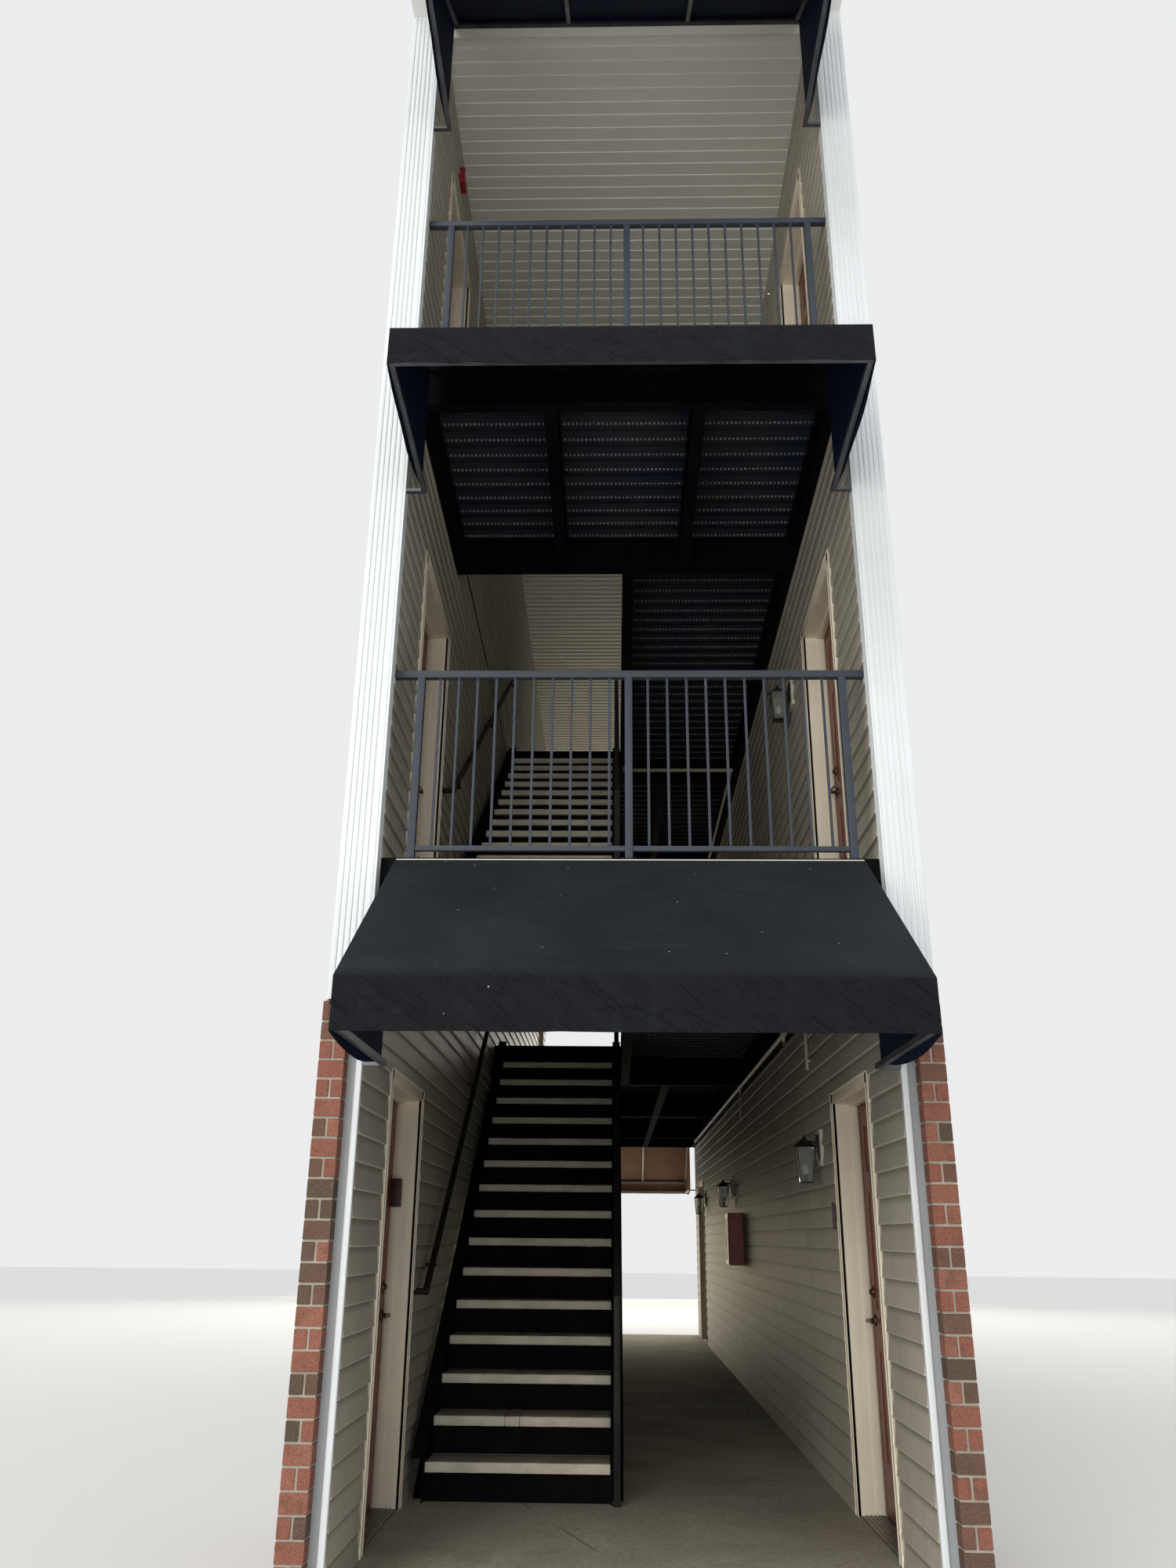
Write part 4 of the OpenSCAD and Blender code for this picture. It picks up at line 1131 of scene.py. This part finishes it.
def addLockSet(name, outsideToo):
    parts = []
    for x, side in ((leafLow.x, -1), (leafHigh.x, 1))[:1 + outsideToo]:
        way = Vector((side, 0, 0))
        lever, bolt = (Vector((x, lockY, floorZ[0] + lock[key])) for key in ("leverUp", "boltUp"))
        parts += addRose(lever, way) + addRose(bolt, way) + addLever(lever, way)
        parts.append(addStub("bolt", bolt, way, 0.012, 0.022, 0.012, 24, 0.001))
    for up in lock["hinges"] if outsideToo else ():
        parts += addHinge(floorZ[0] + up)
    return paint(smoothShade(joinAll(name, parts)), bronzeLook)


def addViewer():
    # Door viewer in the leaf, seen from the passage
    spot = Vector((leafLow.x, (leafLow.y + leafHigh.y) / 2, floorZ[0] + lock["viewerUp"]))
    ring = addStub("viewer", spot, (1, 0, 0), -0.003, 0.004, 0.009, 24, 0.001)
    eye = addBall("eye", spot - Vector((0.003, 0, 0)), (0.0012, 0.005, 0.005), 14, 8)
    return paint(joinAll("rightDoorViewer", [ring, eye]), bronzeLook)


for right, word, nodes in ((addLockSet("rightDoorLock", True), "Lock", ("right_door_lock", "left_door_lock")),
                           (addViewer(), "Viewer", ())):
    left = copyOf(right, "leftDoor" + word, flipX=True)
    settle(right, "lock_bronze", *nodes[:1], body="right_door_leaf")
    settle(left, "lock_bronze", *nodes[1:], body="left_door_leaf")
fixedSet = addLockSet("fixedLock", False)
fixedLocks = settle(spread(fixedSet, "rightFixedLocks", allDoors[1:]), "lock_bronze")
settle(copyOf(fixedLocks, "leftFixedLocks", flipX=True), "lock_bronze")
bpy.data.objects.remove(fixedSet)
print("door frames and locks made")


# Roof of tabbed shingles with a bent ridge cap
def addShingles(name, rear):
    shingle = {"tab": 0.305, "exposure": 0.143, "long": 0.30, "thick": 0.006, "gap": 0.006, "lift": 0.0065,
               "start": 0.04, "lap": 0.004}
    exposure, halfTab = shingle["exposure"], shingle["tab"] / 2
    slopeLong = -roofLow.y / math.cos(slope)
    rows = math.ceil(slopeLong / exposure)
    tabs = math.ceil(2 * outerX / shingle["tab"]) + 1
    tilt = Matrix.Rotation(-math.asin(shingle["thick"] / exposure), 4, "X")
    courses = []
    for phase in range(2):
        tab = addSoftBox("tab", (0, 0, 0), (shingle["tab"] - shingle["gap"], shingle["long"], shingle["thick"]),
                         0.0015, 1)
        repeat(shift(tab, (0, 0, 0), tilt), tabs, (shingle["tab"], 0, 0))
        shift(tab, (-outerX - halfTab * phase - shingle["start"], exposure * phase, shingle["lift"]))
        courses.append(repeat(tab, (rows + 1) // 2, (0, 2 * exposure, 0)))
    roof = joinAll(name, courses)
    for side in (-1, 1):
        cutAt(roof, (side * (outerX + shingle["lap"]), 0, 0), (side, 0, 0), keepBelow=True)
    cutAt(roof, (0, slopeLong, 0), (0, 1, 0), keepBelow=True)

    def cellOf(center):
        row = math.floor(center.y / exposure + 0.02)
        return row, math.floor((center.x + halfTab * (row % 2)) / shingle["tab"])

    toneByCell(roof, cellOf, 51 + rear)
    shift(roof, (0, roofLow.y, roofHigh.z - slopeLong * math.sin(slope)), Matrix.Rotation(slope, 4, "X"))
    settle(paint(turnOver(roof, flipY=rear), shingleLook), "roof_shingle")


def addRidgeCap():
    cap = {"half": 0.15, "pitch": 0.19, "long": 0.30, "thick": 0.006, "caps": 14, "tilt": 1.2, "lap": 0.004,
           "lift": 0.010}
    piece = addBox("ridgeCap", (-outerX, -cap["half"], 0), (-outerX + cap["long"], cap["half"], cap["thick"]))
    cutAt(piece, (0, 0, 0), (0, 1, 0))
    moveVertices(piece, lambda p: abs(p.y) > 0.1, (0, 0, -cap["half"] * math.tan(slope)))
    shift(piece, (0, 0, 0), Matrix.Rotation(math.radians(cap["tilt"]), 4, "Y"))
    repeat(piece, cap["caps"], (cap["pitch"], 0, 0))
    cutAt(piece, (outerX + cap["lap"], 0, 0), (1, 0, 0), keepBelow=True)
    lowest = min(v.co.z for v in piece.data.vertices if abs(v.co.y) < 0.01)
    shift(piece, (0, 0, roofHigh.z + cap["lift"] - lowest))
    toneByCell(piece, lambda c: math.floor((c.x + outerX) / cap["pitch"]), 61)
    settle(paint(piece, shingleLook), "roof_shingle")


addShingles("frontShingles", False)
addShingles("rearShingles", True)
addRidgeCap()
print("roof made")


# Lamps, extinguisher cabinet and the small fittings on the walls
def addLantern(y, z):
    size = {"out": 0.110, "half": 0.052, "taper": 0.74, "tall": 0.19, "post": 0.0035, "plate": 0.045}
    middle, half, wall = halfWidth - size["out"], size["half"], halfWidth
    top, foot, low = z + 0.010, z - size["tall"], half * size["taper"]
    spot, up = (middle, y, z), (0, 0, 1)
    block = addSoftBox("block", (wall - 0.026, y - 0.075, z - 0.10), (wall, y + 0.075, z + 0.115), 0.006, 3)
    metal = [addSoftBox("plate", (wall - 0.034, y - size["plate"], z - 0.06),
                        (wall - 0.025, y + size["plate"], z + 0.085), 0.006, 3),
             addRod("arm", (wall - 0.03, y, z + 0.035), (middle, y, z + 0.052), 0.006, 14),
             addStub("roof", spot, up, 0.010, 0.055, 0.078, 4, endRadius=0.018),
             addStub("cap", spot, up, 0.052, 0.068, 0.016, 18, endRadius=0.010),
             addBall("finial", (middle, y, z + 0.074), (0.008, 0.008, 0.011), 14, 10),
             addSoftBox("foot", (middle - low, y - low, foot - 0.006), (middle + low, y + low, foot + 0.006), 0.003),
             addRod("socket", (middle, y, foot), (middle, y, foot + 0.042), 0.012)]
    metal += [addRod("post", (middle + dx * low, y + dy * low, foot), (middle + dx * half, y + dy * half, top),
                     size["post"], 8) for dx in (-1, 1) for dy in (-1, 1)]
    glass = addBox("glass", (middle - half, y - half, foot), (middle + half, y + half, top))
    pick(glass, "VERT", "vertices", lambda vertex: vertex.co.z < z - 0.1)
    bpy.ops.transform.resize(value=(size["taper"], size["taper"], 1), center_override=(middle, y, foot))
    closeEdit()
    useModifier(glass, "SOLIDIFY", thickness=0.0025, offset=-1)
    bulb = addBall("bulb", (middle, y, foot + 0.075), (0.021, 0.021, 0.036), 20, 14)
    return [block], metal, [glass], [bulb]


def addLamps():
    spots = ((-4.79, floorZ[0] + 1.84), (0.97, floorZ[0] + 1.84), (4.85, floorZ[0] + 1.84),
             (-4.7, floorZ[1] + 1.92))
    blocks, metal, glass, bulbs = (sum(kind, []) for kind in zip(*[addLantern(*spot) for spot in spots]))
    finishPiece("lampBlocks", blocks, blockLook, "white_trim")
    finishPiece("lampMetal", metal, lampLook, "lamp_metal", "passage_lights", angle=35)
    finishPiece("lampGlass", glass, glassLook, "lamp_metal", "passage_lights")
    finishPiece("lampBulbs", bulbs, bulbLook, "lamp_metal", "passage_lights", angle=40)


def addCabinet():
    low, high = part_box("extinguisher_cabinet")
    pullY = low.y + 0.028

    def addSlab(name, near, far, edge):
        return addBox(name, (low.x + near, low.y + edge, low.z + edge),
                      (low.x + far, high.y - edge, high.z - edge))

    body = roundEdges(addBox("cabinetBody", low, high), 0.008, 3)
    door = insetFaces(addSlab("cabinetDoor", -0.006, 0.002, 0.012), lambda c, n: n.x < -0.9,
                      (0.035, 0), (0.004, -0.004))
    pull = [addRod("pull", (low.x - 0.022, pullY, low.z + 0.2), (low.x - 0.022, pullY, low.z + 0.26), 0.004, 12)]
    pull += [addRod("foot", (low.x - 0.006, pullY, low.z + up), (low.x - 0.022, pullY, low.z + up), 0.003, 10)
             for up in (0.205, 0.255)]
    for name, parts, look, angle in (
            ("cabinet", [body, roundEdges(door, 0.001)], redLook, 0),
            ("cabinetPane", [addSlab("cabinetPane", -0.0035, -0.0022, 0.049)], lampLook, 0),
            ("cabinetPull", pull, chromeLook, 35)):
        finishPiece(name, parts, look, "red_cabinet", "extinguisher_cabinet", angle=angle)


def addStrobe():
    # Horn strobe high on the left wall of the third floor
    strobe = {"y": -5.95, "z": 2.36, "half": 0.058, "out": 0.05, "tall": 0.14, "lens": 0.03}
    y, z, face = strobe["y"], floorZ[2] + strobe["z"], strobe["out"] - halfWidth
    case = addSoftBox("strobe", (-halfWidth, y - strobe["half"], z), (face, y + strobe["half"], z + strobe["tall"]),
                      0.008, 3)
    insetFaces(case, lambda c, n: n.x > 0.9, (0.012, -0.003))
    finishPiece("strobe", [case], redLook, "red_cabinet")
    lens = addSoftBox("strobeLens", (face - 0.005, y - strobe["lens"], z + 0.09),
                      (face + 0.008, y + strobe["lens"], z + 0.12), 0.004)
    finishPiece("strobeLens", [lens], lensLook, "red_cabinet")


def addDoorBells():
    # Slim dark bell beside the right door, and a dark box on the jamb of the left one
    bell = {"right": ((halfWidth - 0.036, -5.215, 1.485), (halfWidth - 0.004, -5.175, 1.623)),
            "left": ((-1.318, leafHigh.y - 0.055, 1.575), (-1.265, leafHigh.y + 0.008, 1.725)),
            "buttonUp": 0.04, "button": 0.009}
    parts = []
    for (low, high), turn in ((bell["right"], (-0.003, 0, 0)), (bell["left"], (0, -0.018, 0))):
        x = low[0] + 0.0005 if low[0] > 0 else (low[0] + high[0]) / 2
        button = Vector((x, (low[1] + high[1]) / 2, low[2] + bell["buttonUp"]))
        parts += [addSoftBox("bell", low, high, 0.006, 3),
                  addSoftRod("button", button, button + Vector(turn), bell["button"], 20, 0.001)]
    finishPiece("doorBells", parts, bellLook, "lamp_metal", angle=30)


def addYokes(spot, way, across, near, far):
    return [addRod("yoke", spot + way * near + across * off, spot + way * far + across * off * 0.3, 0.0014, 8)
            for off in (-0.009, 0.009)]


def addSprinklers():
    sprinkler = {"pipeX": 1.08, "tee": 0.0225, "spots": (-4.2, -1.2, 1.8, 4.6),
                 "sideSpots": ((-4.854, 6.0), (-1.056, 6.2), (-4.74, 8.64))}
    heads, drops, pipeZ = [], [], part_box("sprinkler_pipes")[0].z + 0.017
    down, outward, up = Vector((0, 0, -1)), Vector((-1, 0, 0)), Vector((0, 0, 1))
    for y in sprinkler["spots"]:
        spot = Vector((sprinkler["pipeX"], y, pipeZ))
        drops += [addStub("tee", spot, (0, 1, 0), -0.03, 0.03, sprinkler["tee"], 20, 0.002),
                  addStub("drop", spot, down, 0.012, 0.05, 0.012, 16)]
        heads += [addStub("body", spot, down, 0.05, 0.06, 0.010, 6),
                  addStub("plate", spot, down, 0.088, 0.086, 0.016, 20, 0.0005),
                  *addYokes(spot, down, Vector((1, 0, 0)), 0.058, 0.087)]
    # Side wall heads that stand out from the right wall under the upper decks and the ceiling
    for y, z in sprinkler["sideSpots"]:
        spot = Vector((halfWidth, y, z))
        heads += [addStub("cup", spot, outward, 0, 0.024, 0.026, 24, 0.002, 2, 0.020),
                  addStub("stem", spot, outward, 0.02, 0.052, 0.009, 16),
                  addStub("plate", spot, outward, 0.078, 0.076, 0.015, 18, 0.0005),
                  *addYokes(spot, outward, up, 0.05, 0.077)]
    finishPiece("sprinklerDrops", drops, pipeLook, "pipe_paint", angle=35)
    finishPiece("sprinklerHeads", heads, chromeLook, "pipe_paint", angle=35)


def addWallPipes():
    # Short cream pipes that drop down the right wall from the deck
    drop = {"radius": 0.011, "out": 0.03, "spots": ((-4.57, 2.45, 2.76), (-0.28, 2.55, 2.76))}
    pipes, x = [], halfWidth - drop["out"]
    for y, low, high in drop["spots"]:
        pipes += [addRod("pipe", (x, y, low), (x, y, high), drop["radius"]),
                  addBall("end", (x, y, low), (0.0135, 0.0135, 0.012))]
        pipes += [addSoftBox("clip", (x - 0.004, y - 0.02, z), (x + 0.026, y + 0.02, z + 0.016), 0.003)
                  for z in (low + 0.04, high - 0.05)]
    finishPiece("wallPipes", pipes, pipeLook, "pipe_paint", angle=35)


def addFlashings():
    # Light strip along the top edge of each awning where it meets the deck
    flashing = {"half": 1.105, "deep": 0.028, "thick": 0.0055, "down": 0.0295}
    strips = []
    for top in (*floorZ[1:], ceilingZ):
        for side in (-1, 1):
            near, far = mirrored(side, rearY, rearY - flashing["deep"])
            z = top - flashing["down"]
            strips.append(addSoftBox("flashing", (-flashing["half"], near, z),
                                     (flashing["half"], far, z + flashing["thick"]), 0.0015))
    finishPiece("awningFlashings", strips, flashingLook, "white_trim")


for addFitting in (addLamps, addCabinet, addStrobe, addDoorBells, addSprinklers, addWallPipes, addFlashings):
    addFitting()
print("fittings made")


# Guards of square tube: posts, rails and welded pickets with a small weld at each end
guard = {"rail": 0.038, "lowRail": 0.025, "lowUp": 0.040, "picket": 0.013, "pitch": 0.097, "round": 0.003,
         "thinRound": 0.002, "picketRound": 0.0015, "weld": 0.0105, "weldTall": 0.004}
guardTall, railHalf = guardHigh.z - floorZ[2], guard["rail"] / 2


def addPickets(start, end, low, high):
    # Along X at y = 0
    count = max(1, round((end - start) / guard["pitch"]))
    gap = (end - start) / count
    if count < 2:
        return []
    half, weld, x = guard["picket"] / 2, guard["weld"], start + gap
    bars = [addSoftBox("bar", (x - half, -half, low), (x + half, half, high), guard["picketRound"])]
    bars += [addStub("weld", (x, 0, z), (0, 0, grow), 0, guard["weldTall"], weld * 1.25, 10, endRadius=weld * 0.85)
             for z, grow in ((low, 1), (high, -1))]
    return [repeat(joinAll("pickets", bars), count - 1, (gap, 0, 0))]


def addGuard(posts, railStart, railEnd):
    # One guard along X at y = 0 and z = 0, with posts at the given places
    half, lowHalf = railHalf, guard["lowRail"] / 2
    railLow, lowTop = guardTall - guard["rail"], guard["lowUp"] + guard["lowRail"]
    parts = [addSoftBox("bar", (railStart, -half, railLow), (railEnd, half, guardTall), guard["round"]),
             addSoftBox("bar", (posts[0], -lowHalf, guard["lowUp"]), (posts[-1], lowHalf, lowTop),
                        guard["thinRound"])]
    parts += [addSoftBox("bar", (x - half, -half, 0), (x + half, half, railLow + 0.001), guard["round"])
              for x in posts]
    for start, end in zip(posts, posts[1:]):
        parts += addPickets(start, end, lowTop, railLow)
    return joinAll("guard", parts)


def addFeet(posts):
    # Bolted plate behind each post
    foot = {"half": 0.045, "near": 0.019, "far": 0.070, "thick": 0.008, "bolt": 0.030, "boltY": 0.048}
    parts, up = [], (0, 0, 1)
    for x in posts:
        parts.append(addSoftBox("bar", (x - foot["half"], foot["near"], 0),
                                (x + foot["half"], foot["far"], foot["thick"]), guard["thinRound"]))
        for dx in (-foot["bolt"], foot["bolt"]):
            spot = (x + dx, foot["boltY"], foot["thick"])
            parts += [addStub("washer", spot, up, 0, 0.0018, 0.012, 20, 0.0005),
                      addStub("nut", spot, up, 0, 0.010, 0.0095, 6, 0.001),
                      addStub("thread", spot, up, 0, 0.018, 0.005, 12)]
    return parts


def addFrontGuards():
    plate = {"thick": 0.006, "half": 0.035, "tall": 0.04}
    posts = (0.148 - halfWidth, 0.0, halfWidth - 0.124)
    guardY = (guardLow.y + guardHigh.y) / 2
    pieces = []
    for floor in floorZ[1:]:
        pieces += [shift(part, (0, guardY, floor))
                   for part in (addGuard(posts, -halfWidth, halfWidth), *addFeet(posts))]
        z = floor + guardTall - railHalf
        for side in (-1, 1):
            near, far = mirrored(side, halfWidth, halfWidth - plate["thick"])
            pieces.append(addSoftBox("bar", (near, guardY - plate["half"], z - plate["tall"]),
                                     (far, guardY + plate["half"], z + plate["tall"]), guard["thinRound"]))
    front = joinAll("frontGuard", pieces)
    for piece, end in ((copyOf(front, "rearGuard", flipY=True), "rear"), (front, "front")):
        finishPiece(end + "Guards", [piece], guardLook, "black_steel", end + "_guards", angle=30)


def addStairGuards():
    x, quarter = (stairGuardLow.x + stairGuardHigh.x) / 2, Matrix.Rotation(math.radians(90), 4, "Z")
    start, end = stairGuardLow.y + railHalf, stairGuardHigh.y - railHalf
    posts = (start, (start + end + 0.05) / 2, end)
    for level, word in ((1, "second"), (2, "third")):
        floor = floorZ[level]
        pieces = [shift(addGuard(posts, start - railHalf, end + railHalf), (x, 0, floor), quarter)]
        if level == 2:
            across = addGuard((0.06 - halfWidth, (x - halfWidth) / 2, x), -halfWidth, x + railHalf)
            pieces.append(shift(across, (0, start, floor)))
        finishPiece(word + "StairGuard", pieces, railLook, "black_steel", word + "_floor_stair_guard", angle=30)


def addFlightGuard(word, floor):
    # Sloping rails over the outer stringer, its newel on the floor
    flight = {"over": 0.860, "lowRail": (0.090, 0.120), "postFoot": 0.040, "topBack": 0.060, "lip": 0.001,
              "capLow": 0.002, "capHigh": 0.003}
    node, over, rail, half, lip = word + "_flight_guard", flight["over"], guard["rail"], railHalf, flight["lip"]
    x = (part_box(node)[0].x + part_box(node)[1].x) / 2
    newelY, topY = voidY[0] - half, voidY[1] - flight["topBack"]

    def lineZ(y):
        return floor + treadRise + (y - treadLow.y) * treadRise / treadRun

    def addSloped(y0, y1, low, high, wide, width):
        bar = addBox("bar", (x - wide / 2, y0, 0), (x + wide / 2, y1, 1))
        for vertex in bar.data.vertices:
            vertex.co.z = lineZ(vertex.co.y) + (low if vertex.co.z < 0.5 else high)
        return roundEdges(bar, width)

    thick, newelTop = rail * math.hypot(treadRise, treadRun) / treadRun, lineZ(newelY) + over
    parts = [addSloped(newelY, topY, over - thick, over, rail, guard["round"]),
             addSloped(newelY, topY, *flight["lowRail"], guard["lowRail"], guard["thinRound"]),
             addSoftBox("bar", (x - half, newelY - half, floor), (x + half, newelY + half, newelTop), guard["round"]),
             addSoftBox("bar", (x - half - lip, newelY - half - lip, newelTop - flight["capLow"]),
                        (x + half + lip, newelY + half + lip, newelTop + flight["capHigh"]), guard["picketRound"])]
    parts += [addSloped(y - half, y + half, flight["postFoot"], over, rail, guard["round"])
              for y in ((newelY + topY) / 2, topY)]
    count = round((topY - newelY) / guard["pitch"])
    for i in range(1, count):
        y, picketHalf = newelY + i * (topY - newelY) / count, guard["picket"] / 2
        parts.append(addSloped(y - picketHalf, y + picketHalf, flight["lowRail"][0] + 0.010, over - 0.030,
                               guard["picket"], guard["picketRound"]))
    finishPiece(word + "FlightGuard", parts, railLook, "black_steel", node, angle=30)


addFrontGuards()
addStairGuards()
addFlightGuard("lower", floorZ[0])
addFlightGuard("upper", floorZ[1])
print("guards made")


# Precast treads with worn nosings, some cracked across
def addTreads(word, floor, seed, cracks):
    tread = {"thick": 0.050, "nose": 0.025, "arris": 0.005, "part": 0.04, "gap": 0.0006, "worn": 0.012}
    dice, pieces = random.Random(seed), []
    for k in range(1, 16):
        y, z = treadLow.y + (k - 1) * treadRun, floor + k * treadRise
        back = y + treadRun + tread["nose"] if k < 15 else voidY[1] - 0.005
        ends = [treadLow.x, *cracks.get(k, ()), treadHigh.x]
        for left, right in zip(ends, ends[1:]):
            slab = addBox("tread", (left + tread["gap"], y, z - tread["thick"]), (right - tread["gap"], back, z))
            cuts = max(2, int((right - left) / tread["part"]))
            for part in range(1, cuts):
                cutAt(slab, (left + part * (right - left) / cuts, 0, 0), (1, 0, 0))
            pieces.append(roundEdges(slab, tread["arris"], 3))
    treads = joinAll(word + "Treads", pieces)
    for vertex in treads.data.vertices:
        if (vertex.co.y - treadLow.y) % treadRun < tread["worn"]:
            vertex.co.y += dice.uniform(0, 0.0016)
            vertex.co.z += dice.uniform(-0.0008, 0.0008)
    toneByCell(treads, lambda c: math.floor((c.z - floor + tread["thick"] - 0.001) / treadRise), seed)
    settle(smoothShade(paint(treads, treadLook), 50), "tread_concrete", word + "_flight_treads")


addTreads("lower", floorZ[0], 71, {2: (-0.687, -0.603), 9: (-0.45,)})
addTreads("upper", floorZ[1], 72, {})
print("treads made")

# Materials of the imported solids, hidden ones too
keptLooks = {
    partyLook: [side + part for side in ("left_", "right_")
                for part in ("front_pier", "door_head", "ground_wall", "upper_wall")],
    floorLook: ["ground_slab"], deckLook: ["second_floor_slab", "third_floor_slab"],
    treadLook: ["lower_flight_treads", "upper_flight_treads"],
    panLook: ["second_floor_pan", "third_floor_pan"],
    steelLook: ["second_floor_beams", "third_floor_beams", "lower_flight_steel", "upper_flight_steel"],
    railLook: ["lower_flight_guard", "upper_flight_guard", "wall_handrails", "second_floor_stair_guard",
               "third_floor_stair_guard"],
    guardLook: ["front_guards", "rear_guards"], brickLook: ["brick_facings"],
    postLook: ["front_corner_posts", "rear_corner_posts"], tubeLook: ["front_awning_frames"],
    litRearTubeLook: ["rear_awning_frames"], soffitLook: ["ceiling"], shingleLook: ["roof_slopes"],
    rakeLook: ["eaves"], pipeLook: ["sprinkler_pipes"], lampLook: ["passage_lights"],
    casingLook: ["left_door_frames", "right_door_frames"], redLook: ["extinguisher_cabinet"],
    bronzeLook: ["left_door_lock", "right_door_lock"],
    doorLook: ["left_door", "right_door", "left_fixed_doors", "right_fixed_doors"],
    clothLook: ["front_ground_awning", "front_second_awning", "front_third_awning", "rear_awnings"]}
for look, names in keptLooks.items():
    for name in names:
        paint(bpy.data.objects[name], look)
print("packed solids painted")
